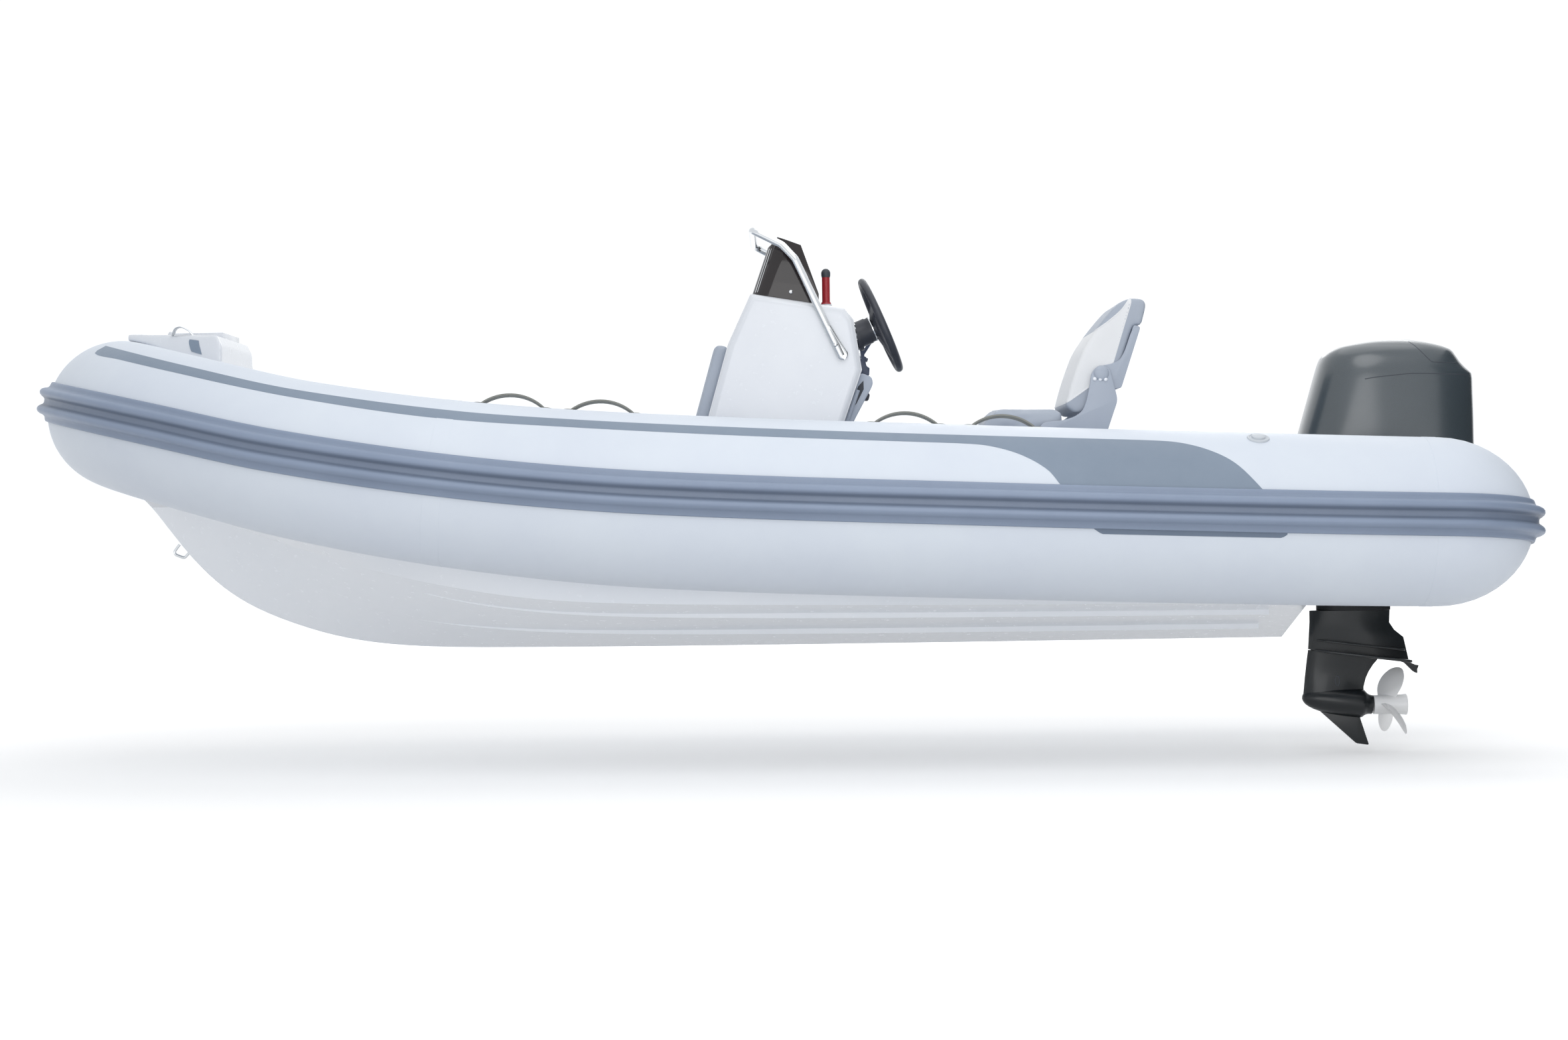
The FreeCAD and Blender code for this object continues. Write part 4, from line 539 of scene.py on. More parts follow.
@dataclass(frozen=True)
class Finish:
    """A finish: what a surface is made of and how that was worked.

    Attributes:
        name: The real material.
        colour: sRGB hex of the body colour.
        shade: sRGB hex that the colour drifts to in patches.
        grain: What breaks up its light.
        grain_mm: Size of that grain.
        depth_mm: How deep the grain is.
        rough: Roughness where it is cleanest.
        rough_worn: Roughness where it is dullest.
        metallic: 1 for bare metal.
        ior: Index of refraction; None keeps the shader's own.
        coat: Weight of a clear coat.
        coat_rough: Roughness of that coat.
        sheen: Weight of the soft edge light of cloth.
        flakes: Weight of metal flakes in the paint.
        clear: Share of light that goes through.
        dirt: How strongly dust settles on faces that look up.
        painted_shade_mm: How wide a groove may be to get painted shade, darker where less light
            reaches in; 0 for none.
    """

    name: str
    colour: str
    shade: str
    grain: Grain
    grain_mm: float
    depth_mm: float
    rough: float
    rough_worn: float
    metallic: float = 0.0
    ior: float | None = None
    coat: float = 0.0
    coat_rough: float = 0.06
    sheen: float = 0.0
    flakes: float = 0.0
    clear: float = 0.0
    dirt: float = 0.0
    painted_shade_mm: float = 0.0

    def build(self) -> Material:
        """Makes the node material, once.

        Returns:
            The material.
        """
        made = bpy.data.materials.get(self.name)
        if made:
            return made
        material = bpy.data.materials.new(self.name)
        material.use_nodes = True
        tree = material.node_tree
        shader = tree.nodes["Principled BSDF"]
        place = add_node(material, "TexCoord").outputs["Object"]
        # fine scuffs make the gloss uneven
        scuffs = add_node(material, "TexNoise", {"Scale": 1000 / SCUFF_MM, "Detail": 6.0,
                                                 "Roughness": 0.7},
                          {"Vector": place}).outputs["Fac"]
        gloss = add_node(material, "MapRange", {"From Min": 0.3, "From Max": 0.75,
                                                "To Min": self.rough, "To Max": self.rough_worn},
                         {"Value": scuffs}).outputs["Result"]
        tree.links.new(self.paint(material, place, scuffs), shader.inputs["Base Color"])
        tree.links.new(gloss, shader.inputs["Roughness"])
        tree.links.new(self.relief(material, place), shader.inputs["Normal"])
        shader.inputs["Metallic"].default_value = self.metallic
        if self.ior is not None:
            shader.inputs["IOR"].default_value = self.ior
        shader.inputs["Coat Weight"].default_value = self.coat
        shader.inputs["Coat Roughness"].default_value = self.coat_rough
        shader.inputs["Sheen Weight"].default_value = self.sheen
        shader.inputs["Sheen Roughness"].default_value = 0.45
        shader.inputs["Transmission Weight"].default_value = self.clear
        return material

    def paint(self, material: Material, place: Socket, scuffs: Socket) -> Socket:
        """Builds the colour, with flakes, dust and painted shade in grooves where the finish has
        them.

        Args:
            material: The material that gets it.
            place: Object coordinates.
            scuffs: The pattern of the fine scuffs.

        Returns:
            The colour's socket.
        """
        # broad, weak patches: no real surface is one flat colour
        patches = add_node(material, "TexNoise", {"Scale": 1000 / PATCH_MM, "Detail": 5.0,
                                                  "Roughness": 0.62},
                           {"Vector": place}).outputs["Fac"]
        colour = ramp(material, patches, [(0.3, linear(self.shade)), (0.68, linear(self.colour))])
        if self.flakes:
            flake = add_node(material, "TexVoronoi", {"Scale": 1000 / FLAKE_MM}, {"Vector": place})
            bright = add_node(material, "MapRange", {"To Min": 1.0 - self.flakes,
                                                     "To Max": 1.0 + self.flakes},
                              {"Value": flake.outputs["Color"]}).outputs["Result"]
            colour = add_node(material, "VectorMath", {"operation": "MULTIPLY"},
                              {0: colour, 1: bright}).outputs["Vector"]
        if self.dirt:
            # dust lies in the scuffs of faces that look up
            up = add_node(material, "SeparateXYZ", links={
                "Vector": add_node(material, "NewGeometry").outputs["Normal"]}).outputs["Z"]
            caught = add_node(material, "Math", {"operation": "MULTIPLY", "use_clamp": True},
                              {0: up, 1: scuffs}).outputs[0]
            level = add_node(material, "Math", {"operation": "MULTIPLY", 1: self.dirt},
                             {0: caught}).outputs[0]
            colour = add_node(material, "Mix", {"data_type": "RGBA", 7: linear(DUST)},
                              {0: level, 6: colour}).outputs[2]
        # painted shade: ambient occlusion darkens the colour in grooves and corners, where less
        # light reaches
        if self.painted_shade_mm:
            open_air = add_node(material, "AmbientOcclusion", {"Distance": self.painted_shade_mm * MM,
                                                               "samples": 8}).outputs["AO"]
            shade = add_node(material, "MapRange", {"From Min": 0.45, "From Max": 0.97,
                                                    "To Min": 0.3, "To Max": 1.0},
                             {"Value": open_air}).outputs["Result"]
            colour = add_node(material, "VectorMath", {"operation": "MULTIPLY"},
                              {0: colour, 1: shade}).outputs["Vector"]
        return colour

    def relief(self, material: Material, place: Socket) -> Socket:
        """Builds the bump of the surface's grain.

        Args:
            material: The material that gets it.
            place: Object coordinates.

        Returns:
            The bump's normal socket.
        """
        per_metre = 1000 / self.grain_mm
        waves = per_metre / 2 / math.pi
        if self.grain is Grain.WEAVE:
            # two crossed sets of threads under the coating
            warp, weft = [add_node(material, "TexWave", {"bands_direction": axis, "Scale": waves,
                                                         "Distortion": 0.6, "Detail": 1.0},
                                   {"Vector": place}).outputs["Fac"] for axis in ("X", "Z")]
            height = add_node(material, "Math", {"operation": "MULTIPLY"},
                              {0: warp, 1: weft}).outputs[0]
        elif self.grain is Grain.LEATHER:
            cells = add_node(material, "TexVoronoi", {"feature": "SMOOTH_F1", "Scale": per_metre,
                                                      "Smoothness": 0.6}, {"Vector": place})
            height = cells.outputs["Distance"]
        elif self.grain is Grain.DIAMOND:
            turned = add_node(material, "Mapping", {"Rotation": (0.0, 0.0, math.pi / 4)},
                              {"Vector": place}).outputs["Vector"]
            bands = [add_node(material, "TexWave", {"bands_direction": axis, "wave_profile": "TRI",
                                                    "Scale": waves},
                              {"Vector": turned}).outputs["Fac"] for axis in ("X", "Y")]
            height = add_node(material, "Math", {"operation": "MINIMUM"},
                              {0: bands[0], 1: bands[1]}).outputs[0]
        elif self.grain in (Grain.BRUSHED, Grain.EXTRUDED):
            long_way = add_node(material, "Mapping", {"Scale": (0.04, 1.0, 1.0)},
                                {"Vector": place}).outputs["Vector"]
            height = add_node(material, "TexNoise", {"Scale": per_metre, "Detail": 2.0},
                              {"Vector": long_way}).outputs["Fac"]
        else:
            height = add_node(material, "TexNoise", {"Scale": per_metre, "Detail": 4.0},
                              {"Vector": place}).outputs["Fac"]
        bump = add_node(material, "Bump", {"Strength": 1.0, "Distance": self.depth_mm * MM},
                        {"Height": height})
        return bump.outputs["Normal"]


def wear(obj: Obj, finish: Finish) -> None:
    """Puts a finish on an object in place of whatever it had."""
    obj.data.materials.clear()
    obj.data.materials.append(finish.build())


# Finishes


# Cloth, vinyl, orange peel and the deck's diamonds have about their real sizes. The belt lines of
# polished metal and the skins of castings are finer than the picture shows, so they are drawn as
# coarse as they need to be.

# PVC-coated polyester of the tubes: satin, pale blue-white, its cloth just showing
TUBE_FABRIC = Finish("coated tube fabric", "dce3ec", "d6dde8", Grain.WEAVE, 1.6, 0.05, 0.46, 0.58,
                     ior=1.5, sheen=0.05)
# the same cloth coated dark grey: the patch under the rail
PATCH_FABRIC = Finish("dark grey coated fabric", "6c7a8d", "667487", Grain.WEAVE, 1.6, 0.05, 0.48,
                      0.6, ior=1.5)
# the same cloth coated mid grey: stripe and swoosh; also the grey sheets of painted shadow under
# the bow hoops
STRIPE_FABRIC_AND_PAINTED_SHADOW = Finish("grey coated fabric", "8492a3", "7d8b9c", Grain.WEAVE, 1.6, 0.05, 0.48, 0.6,
                       ior=1.5)
# extruded PVC rail: satin blue-grey, lines along its length, with painted shade in the grooves
# between its ribs
RAIL_RUBBER = Finish("extruded rail rubber", "8b99b0", "8492a9", Grain.EXTRUDED, 2.2, 0.06, 0.42,
                     0.55, ior=1.5, coat=0.05, painted_shade_mm=50.0)
# sprayed gelcoat of the console, bow step and seat base: gloss, a little orange peel
GELCOAT = Finish("polyester gelcoat", "e2e5ea", "dcdfe5", Grain.PEEL, 9.0, 0.02, 0.2, 0.3,
                 ior=1.52, coat=0.5)
# the same gelcoat painted whiter on the hull: painted light that lifts its down-facing sides, which
# get little lamp light
HULL_GELCOAT_PAINTED_LIGHTER = Finish("hull gelcoat", "f7faff", "f3f7fd", Grain.PEEL, 9.0, 0.01, 0.2, 0.3,
                      ior=1.52, coat=0.5)
# gelcoat with moulded diamonds underfoot: dull, a little dusty
DECK_GELCOAT = Finish("non-skid deck gelcoat", "dcdfe2", "d3d7db", Grain.DIAMOND, 7.0, 0.5, 0.42,
                      0.6, ior=1.52, dirt=0.25)
# grey painted mouldings of the helm seat and the console's door: satin
GREY_PANEL = Finish("grey moulded panel", "b1b9c6", "a8b1bf", Grain.PEEL, 5.0, 0.03, 0.32, 0.42,
                    ior=1.5)
# marine vinyl, pebbled and slightly soft at its edges
VINYL = Finish("marine vinyl", "b0b8c4", "a8b0bd", Grain.LEATHER, 2.4, 0.18, 0.5, 0.62, ior=1.5,
               sheen=0.12)
# the same vinyl, nearly white: the back rest's panel and piping
VINYL_LIGHT = Finish("pale marine vinyl", "f0f1f2", "eaebed", Grain.LEATHER, 2.4, 0.18, 0.5, 0.62,
                     ior=1.5, sheen=0.12)
# polished 316 tube: bright, with the fine lines of the belt; also the thin strips of painted
# highlight on the screen's bend
STAINLESS_AND_PAINTED_HIGHLIGHT = Finish("polished stainless tube", "d6d8da", "c9cccf", Grain.BRUSHED, 1.2, 0.01, 0.12,
                   0.22, metallic=1.0)
# smoked acrylic: dark brown-grey and glossy, lets a little light through
SMOKED = Finish("smoked acrylic", "2b2425", "251f20", Grain.PEEL, 30.0, 0.01, 0.05, 0.09,
                ior=1.45, clear=0.2)
# moulded ABS, finely textured: dull black
BLACK_PLASTIC = Finish("black moulded plastic", "393c45", "31343c", Grain.SAND, 1.2, 0.05, 0.4,
                       0.52, ior=1.5)
# moulded nylon: pale, satin
GREY_PLASTIC = Finish("pale valve plastic", "c9ced4", "bfc5cc", Grain.SAND, 1.5, 0.03, 0.38, 0.48,
                      ior=1.46)
# moulded PVC of the grip: deep red, satin
RED_PLASTIC = Finish("red moulded grip", "a3222c", "941c26", Grain.SAND, 1.6, 0.06, 0.36, 0.46,
                     ior=1.5)
# sprayed cowl: dark metallic base coat under a soft clear coat
MOTOR_PAINT = Finish("dark metallic cowl paint", "39434a", "333d43", Grain.PEEL, 8.0, 0.008, 0.3,
                     0.36, ior=1.5, coat=1.0, coat_rough=0.2, flakes=0.2)
# painted aluminium castings of the leg and its brackets: black, satin, sand-cast skin
MOTOR_CASTING = Finish("painted aluminium casting", "16191c", "121518", Grain.SAND, 2.4, 0.05,
                       0.36, 0.5, ior=1.32)
# the same castings under water, enamelled to a gloss
GEARCASE_ENAMEL = Finish("gloss enamel on aluminium", "1c2023", "171b1e", Grain.PEEL, 7.0, 0.01,
                         0.28, 0.36, ior=1.4, coat=0.15, coat_rough=0.14)
# woven webbing of the grab handles: olive grey, dull
WEBBING = Finish("olive grey webbing", "8b8c86", "7f807a", Grain.WEAVE, 2.2, 0.25, 0.6, 0.72,
                 ior=1.46, sheen=0.1)
# moulded ABS of the control unit: navy, satin
NAVY_PLASTIC = Finish("navy moulded plastic", "46526c", "3c4760", Grain.SAND, 1.4, 0.04, 0.3, 0.42,
                      ior=1.5)
# rubber of seams, inlets and the grip's cap: dark grey, dull; also the painted shade of the door's
# finger slots
SEAL_AND_PAINTED_SHADE = Finish("black rubber seal", "3a3f47", "31363d", Grain.SAND, 1.6, 0.05, 0.5, 0.65, ior=1.5)
# cast block under the cowl: dull bare metal
ENGINE_IRON = Finish("engine block casting", "4a4d50", "3f4245", Grain.SAND, 3.0, 0.2, 0.5, 0.7,
                     metallic=1.0)
# cast aluminium of the propeller under white gloss paint
PROP_METAL = Finish("white painted propeller", "f6f6f6", "f0f0f0", Grain.SAND, 3.0, 0.03, 0.26,
                    0.36, ior=1.5, coat=0.4)
# hard chrome on the tilt ram's rod: bright, nearly a mirror
RAM_STEEL = Finish("chromed ram steel", "c4c7ca", "b8bbbf", Grain.BRUSHED, 1.0, 0.01, 0.14, 0.24,
                   metallic=1.0)

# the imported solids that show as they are; the others have a skin
NODE_FINISH: dict[str, Finish] = {
    "hull": HULL_GELCOAT_PAINTED_LIGHTER, "bow_deck": GELCOAT, "deck_liner": DECK_GELCOAT, "bow_eye": STAINLESS_AND_PAINTED_HIGHLIGHT,
    "grab_straps_port": WEBBING, "grab_straps_starboard": WEBBING, "stern_tow_eyes": STAINLESS_AND_PAINTED_HIGHLIGHT,
    "guard_rail": STAINLESS_AND_PAINTED_HIGHLIGHT, "red_grip": RED_PLASTIC, "cowl_tray": MOTOR_PAINT,
    "powerhead": ENGINE_IRON, "ram_barrel": MOTOR_CASTING, "ram_rod": RAM_STEEL,
}


# Sub-assemblies


@dataclass
class Collar:
    """The inflated tubes with their stripe, swoosh and patch. Sizes in metres.

    Attributes:
        side_y: Tube centre from the centreline along the sides.
        bend_x: Where the sides start to curve in.
        bow_x: Tube centre on the centreline.
        stern_x: Where the blunt cones start.
        cone: Length of a cone.
        heights: Height of the tube's centre, as (x, z).
        radii: The tube's radius, as (x, radius).
        stripe_cloth: Thickness of the stripe and swoosh, which are one piece of cloth.
        stripe_low: Their lower edge, as (metres along the tube, degrees round it).
        stripe_high: Their upper edge.
        patch_cloth: Thickness of the patch under the rail.
        patch_low: Its lower edge.
        patch_high: Its upper edge, in degrees.
        cone_rings: Sections along a cone.
        side_rings: Sections along a side.
        bow_rings: Sections along half the bow.
    """

    side_y: float = 0.77
    bend_x: float = 1.0
    bow_x: float = 2.2
    stern_x: float = -2.185
    cone: float = 0.31
    heights: Table = ((-2.5, 0.188), (-1.7, 0.211), (-0.77, 0.245), (0.345, 0.296),
                      (0.945, 0.354), (1.465, 0.44), (1.84, 0.532), (2.2, 0.625))
    radii: Table = ((-2.5, 0.27), (-1.7, 0.276), (0.0, 0.281), (0.5, 0.279), (1.29, 0.262),
                    (1.65, 0.255), (2.2, 0.253))
    stripe_cloth: float = 0.0008
    stripe_low: Table = ((-2.583, 17.0), (-1.96, 17.0), (-1.953, 18.1), (-1.912, 29.1),
                         (-1.83, 40.6), (-1.748, 47.2), (-1.68, 49.6), (-1.497, 50.2),
                         (-0.908, 50.9), (-0.397, 51.1), (-0.056, 49.0), (0.068, 48.9),
                         (0.338, 52.1), (0.527, 53.3), (0.784, 56.3), (0.928, 58.9), (0.951, 70.4))
    stripe_high: Table = ((-2.583, 19.2), (-2.499, 39.2), (-2.42, 50.6), (-2.34, 57.5),
                          (-2.27, 59.6), (-2.088, 59.9), (-1.498, 59.6), (-0.907, 60.4),
                          (-0.392, 60.4), (-0.048, 59.2), (0.181, 60.4), (0.416, 62.4),
                          (0.63, 65.1), (0.85, 69.0), (0.951, 70.8))
    patch_cloth: float = 0.0012
    patch_low: Table = ((-2.661, -10.2), (-2.655, -11.4), (-2.641, -12.4), (-2.081, -12.4),
                        (-2.055, -9.0))
    patch_high: float = -6.0
    cone_rings: int = 18
    side_rings: int = 100
    bow_rings: int = 44

    @property
    def bend(self) -> float:
        """Length along the tube from the start of the bend to the centreline."""
        return self.bow_x - self.bend_x

    @property
    def stern(self) -> float:
        """Place along the tube where the cone starts."""
        return self.stern_x - self.bend_x

    def centre(self, t: float) -> Vector:
        """Centre of the port tube.

        Args:
            t: Place along it in metres, 0 where the bend starts and below 0 along the side.

        Returns:
            The point.
        """
        if t <= 0:
            x, y = self.bend_x + t, self.side_y
        else:
            turn = math.pi / 2 * t / self.bend
            x, y = self.bend_x + self.bend * math.sin(turn), self.side_y * math.cos(turn)
        return Vector((x, y, smooth_value(self.heights, x)))

    def axes(self, t: float) -> tuple[Vector, Vector, Vector, Vector, float]:
        """Frame of the port tube.

        Args:
            t: Place along it.

        Returns:
            Its centre, the directions ahead, outboard and up, and its radius.
        """
        step = 0.001
        centre = self.centre(t)
        ahead = (self.centre(t + step) - self.centre(t - step)).normalized()
        outboard = Vector((0, 0, 1)).cross(ahead).normalized()
        return centre, ahead, outboard, ahead.cross(outboard), smooth_value(self.radii, centre.x)

    def surface(self, t: float, angle: float, height: float = 0.0) -> Vector:
        """Point on the port tube, its stern cone included.

        Args:
            t: Place along it; below the stern it runs round the cone.
            angle: Degrees round the tube from straight outboard.
            height: Distance off the fabric.

        Returns:
            The point.
        """
        centre, ahead, outboard, up, radius = self.axes(max(t, self.stern))
        turn = math.radians(angle)
        out = outboard * math.cos(turn) + up * math.sin(turn)
        if t >= self.stern:
            return centre + out * (radius + height)
        polar = math.pi / 2 * min((self.stern - t) / self.cone, 1.0)
        return (centre + out * ((radius + height) * math.cos(polar))
                - ahead * ((self.cone + height) * math.sin(polar)))

    def ring(self, t: float, side: int, around: int = 96, height: float = 0.0) -> list[Vector]:
        """Round section of a tube."""
        turns = spread(0.0, 360.0, around)[:-1]
        return to_side([self.surface(t, angle, height) for angle in turns], side)

    def strip(self, places: Sequence[float], low: Callable[[float], float],
              high: Callable[[float], float], lift: float, side: int,
              rows: int = 6) -> Obj:
        """A thin glued strip that lies on the tube between two lines.

        Args:
            places: Places along the tube.
            low: Lower line, in degrees, at a place.
            high: Upper line, in degrees, at a place.
            lift: Thickness.
            side: 1 for port, -1 for starboard.
            rows: Faces across.

        Returns:
            The new mesh object.
        """
        lines = []
        for t in places:
            first, last = low(t), high(t)
            line = [self.surface(t, angle, lift) for angle in spread(first, last, rows)]
            lines.append(to_side([self.surface(t, first), *line, self.surface(t, last)], side))
        return loft(lines, closed=False)

    def grey_cloth(self, side: int, end: str) -> None:
        """Makes the stripe, swoosh and patch of one side.

        Args:
            side: 1 for port, -1 for starboard.
            end: The side's name.
        """
        stripe = self.strip(spread(self.stripe_low[0][0], self.stripe_low[-1][0], 260),
                            lambda t: smooth_value(self.stripe_low, t),
                            lambda t: smooth_value(self.stripe_high, t),
                            self.stripe_cloth, side, rows=16)
        finish_piece(stripe, f"stripe_{end}", STRIPE_FABRIC_AND_PAINTED_SHADOW, HULL_BODY)
        patch = self.strip(spread(self.patch_low[0][0], self.patch_low[-1][0], 60),
                           lambda t: straight_value(self.patch_low, t),
                           lambda t: self.patch_high, self.patch_cloth, side)
        finish_piece(patch, f"patch_{end}", PATCH_FABRIC, HULL_BODY)

    def build(self) -> None:
        """Makes the skins of the three chambers and the grey cloth on them."""
        quarter = spread(0.0, math.pi / 2, self.cone_rings)
        places = [self.stern - self.cone * math.cos(turn) for turn in quarter]
        places += spread(self.stern, 0.0, self.side_rings)[1:]
        for side, end in ((1, "port"), (-1, "starboard")):
            skin = loft([self.ring(t, side) for t in places], capped=True)
            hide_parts(f"tube_{end}")
            finish_piece(skin, f"tube_skin_{end}", TUBE_FABRIC, HULL_BODY)
            self.grey_cloth(side, end)
        half = spread(0.0, self.bend, self.bow_rings)
        rings = [self.ring(t, 1) for t in half] + [self.ring(t, -1) for t in reversed(half[:-1])]
        skin = loft(rings, capped=True)
        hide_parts("tube_bow")
        finish_piece(skin, "tube_skin_bow", TUBE_FABRIC, HULL_BODY)


@dataclass
class Tapes:
    """Seam tapes that cover the joints of the collar's chambers. Sizes in metres.

    Attributes:
        collar: The tubes that they lie on.
        half_width: Half the width of a tape.
        lift: Its thickness.
        stern_gap: How far the after tapes lie ahead of the stern cones.
    """

    collar: Collar
    half_width: float = 0.02
    lift: float = 0.0007
    stern_gap: float = 0.03

    def build(self) -> None:
        """Makes one ring of tape per joint."""
        profile = ((-1, -1), (-0.98, 1), (0.98, 1), (1, -1))
        bands = []
        for side in (1, -1):
            for t in (0.0, self.collar.stern + self.stern_gap):
                bands.append(loft([self.collar.ring(t + self.half_width * along, side,
                                                    height=self.lift * out)
                                   for along, out in profile]))
        finish_piece(joined(bands), "seam_tapes", TUBE_FABRIC, HULL_BODY, angle=30.0)


@dataclass
class RubRail:
    """The extruded rail round the collar, with its two ribs. Sizes in metres.

    Attributes:
        collar: The tubes it is glued to.
        lift_aft: Degrees above the widest line of the tube, along the sides.
        lift_bow: The same at the bow.
        past_tip: How far it runs on past the tip of a stern cone, in radians.
        tip_pinch: How much tighter than the tube it bends across, there at the tip.
        profile: Half of its outline, as (across, out), from the middle to the edge.
    """

    collar: Collar
    lift_aft: float = 5.0
    lift_bow: float = 11.0
    past_tip: float = 0.2
    tip_pinch: float = 0.11
    profile: Table = ((0.0, 0.015), (0.006, 0.0155), (0.01, 0.0185), (0.014, 0.0262),
                      (0.019, 0.0332), (0.024, 0.0362), (0.03, 0.0362), (0.035, 0.0332),
                      (0.04, 0.0262), (0.044, 0.0168), (0.048, 0.0122), (0.053, 0.0105),
                      (0.062, 0.0098), (0.066, 0.0086), (0.0678, 0.005), (0.068, -0.003))

    def section(self, point: Vector, normal: Vector, across: Vector, bend: float) -> list[Vector]:
        """The outline, laid on a curved surface.

        Args:
            point: The rail's middle on the surface.
            normal: Direction off the surface.
            across: Direction over the rail's width.
            bend: The surface's radius in that direction.

        Returns:
            The points of the outline.
        """
        middle = point - normal * bend
        lower = [(-offset, out) for offset, out in reversed(self.profile[1:])]
        ring = []
        for offset, out in [*lower, *self.profile]:
            turn = offset / bend
            ring.append(middle + (normal * math.cos(turn) + across * math.sin(turn)) * (bend + out))
        return ring

    def half(self) -> list[list[Vector]]:
        """Sections of the rail's port half.

        Returns:
            The sections, from past the tip of the stern cone to the centreline.
        """
        collar = self.collar
        centre, ahead, outboard, up, radius = collar.axes(collar.stern)
        lift = math.radians(self.lift_aft)
        out = outboard * math.cos(lift) + up * math.sin(lift)
        rings = []
        for share in spread(1.0, 0.0, 28)[:-1]:
            turn = (math.pi / 2 + self.past_tip) * share
            point = (centre + out * (radius * math.cos(turn))
                     - ahead * (collar.cone * math.sin(turn)))
            normal = out * (math.cos(turn) / radius) - ahead * (math.sin(turn) / collar.cone)
            along = ahead * (collar.cone * math.cos(turn)) + out * (radius * math.sin(turn))
            across = along.normalized().cross(normal.normalized())
            rings.append(self.section(point, normal.normalized(), across,
                                      radius * (1 - self.tip_pinch * math.sin(turn) ** 2)))
        for t in spread(collar.stern, 0.0, 70) + spread(0.0, collar.bend, 60)[1:]:
            centre, ahead, outboard, up, radius = collar.axes(t)
            rise = max(0.0, t / collar.bend) * (self.lift_bow - self.lift_aft)
            lift = math.radians(self.lift_aft + rise)
            normal = outboard * math.cos(lift) + up * math.sin(lift)
            rings.append(self.section(centre + normal * radius, normal, ahead.cross(normal),
                                      radius))
        return rings

    def build(self) -> None:
        """Makes the whole rail."""
        port = self.half()
        rail = loft(port + [to_side(ring, -1) for ring in reversed(port[:-1])], capped=True)
        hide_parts("rub_rail")
        finish_piece(rail, "rub_rail_skin", RAIL_RUBBER, HULL_BODY, angle=50.0)


@dataclass
class Valves:
    """Inflation valves on top of the tubes. Sizes in metres.

    Attributes:
        collar: The tubes that they are let into.
        place: Place along the tube.
        angle: Degrees round the tube from straight outboard.
        profile: A ring with a low cap in it, turned, as (off the fabric, radius).
    """

    collar: Collar
    place: float = -2.591
    angle: float = 67.5
    profile: Table = ((-0.004, 0.036), (0.0015, 0.036), (0.004, 0.0345), (0.0048, 0.029),
                      (0.003, 0.0265), (0.0034, 0.0225), (0.0085, 0.0215), (0.01, 0.019),
                      (0.0106, 0.01), (0.0107, 0.0))

    def valve(self, side: int) -> Obj:
        """Makes the valve of one side, square on the fabric.

        Args:
            side: 1 for port, -1 for starboard.

        Returns:
            The new mesh object.
        """
        line = [self.collar.surface(self.place, self.angle, height) for height in (0.0, 0.1)]
        foot, tip = to_side(line, side)
        return lathe(self.profile, foot, tip - foot, around=48)

    def build(self) -> None:
        """Makes both valves."""
        valves = both_sides(self.valve)
        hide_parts("tube_valves")
        finish_piece(valves, "valves", GREY_PLASTIC, HULL_BODY)


@dataclass
class Cushion:
    """A padded piece, swollen by a short cloth run from its plain block.

    Attributes:
        node: The plain solid that it stands for.
        swell: The farthest that the cover moves, in metres.
        fill: How full of foam it is, up to 1; not used.
        cell: Size of its mesh's cells, in metres.
        pressure: Air pressure of the cloth run.
        frames: Length of the run.
    """

    node: str
    swell: float = 0.012
    fill: float = 0.9
    cell: float = 0.006
    pressure: float = 4.0
    frames: int = 20

    def build(self) -> None:
        """Makes the cushion."""
        pad = copied(self.node)
        edit(pad, lambda: bpy.ops.mesh.remove_doubles(threshold=0.0001))
        modify(pad, "REMESH", mode="VOXEL", voxel_size=self.cell)
        before = [vertex.co.copy() for vertex in pad.data.vertices]
        choose(pad)
        cloth = pad.modifiers.new("Cloth", "CLOTH")
        cloth.settings.use_pressure = True
        cloth.settings.uniform_pressure_force = self.pressure
        cloth.settings.effector_weights.gravity = 0.0
        for number in range(1, self.frames + 1):
            bpy.context.scene.frame_set(number)
        bpy.ops.object.modifier_apply(modifier=cloth.name)
        bpy.context.scene.frame_set(1)
        for vertex, start in zip(pad.data.vertices, before):
            step = vertex.co - start
            if step.length > self.swell:
                vertex.co = start + step.normalized() * self.swell
        modify(pad, "SMOOTH", factor=0.5, iterations=10)
        modify(pad, "SUBSURF", levels=1, render_levels=1)
        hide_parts(self.node)
        finish_piece(pad, self.node + "_cover", VINYL, HULL_BODY, angle=60.0)


@dataclass
class Softened:
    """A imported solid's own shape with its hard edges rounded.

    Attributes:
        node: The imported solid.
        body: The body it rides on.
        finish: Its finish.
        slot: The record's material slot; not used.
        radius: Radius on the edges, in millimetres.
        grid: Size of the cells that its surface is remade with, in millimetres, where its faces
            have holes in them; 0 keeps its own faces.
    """

    node: str
    body: str
    finish: Finish
    slot: str
    radius: float
    grid: float = 0.0

    def round_on_grid(self, skin: Obj) -> None:
        """Rounds the edges by smoothing a remade surface.

        Args:
            skin: The copy of the solid.
        """
        edit(skin, lambda: bpy.ops.mesh.remove_doubles(threshold=0.00005))
        modify(skin, "REMESH", mode="VOXEL", voxel_size=self.grid * MM)
        modify(skin, "SMOOTH", factor=0.5, iterations=round(7 * self.radius / self.grid))

    def round_by_bevel(self, skin: Obj) -> None:
        """Rounds the edges by a bevel on the solid's own faces.

        Args:
            skin: The copy of the solid.
        """
        edit(skin, merge_flat_faces)
        modify(skin, "BEVEL", width=self.radius * MM, segments=3, limit_method="ANGLE",
               angle_limit=math.radians(32), use_clamp_overlap=True)

    def build(self) -> Obj:
        """Makes the skin.

        Returns:
            The piece.
        """
        skin = copied(self.node)
        if self.grid:
            self.round_on_grid(skin)
        else:
            self.round_by_bevel(skin)
        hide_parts(self.node)
        return finish_piece(skin, self.node + "_skin", self.finish, self.body,
                            angle=70.0 if self.grid else 40.0)


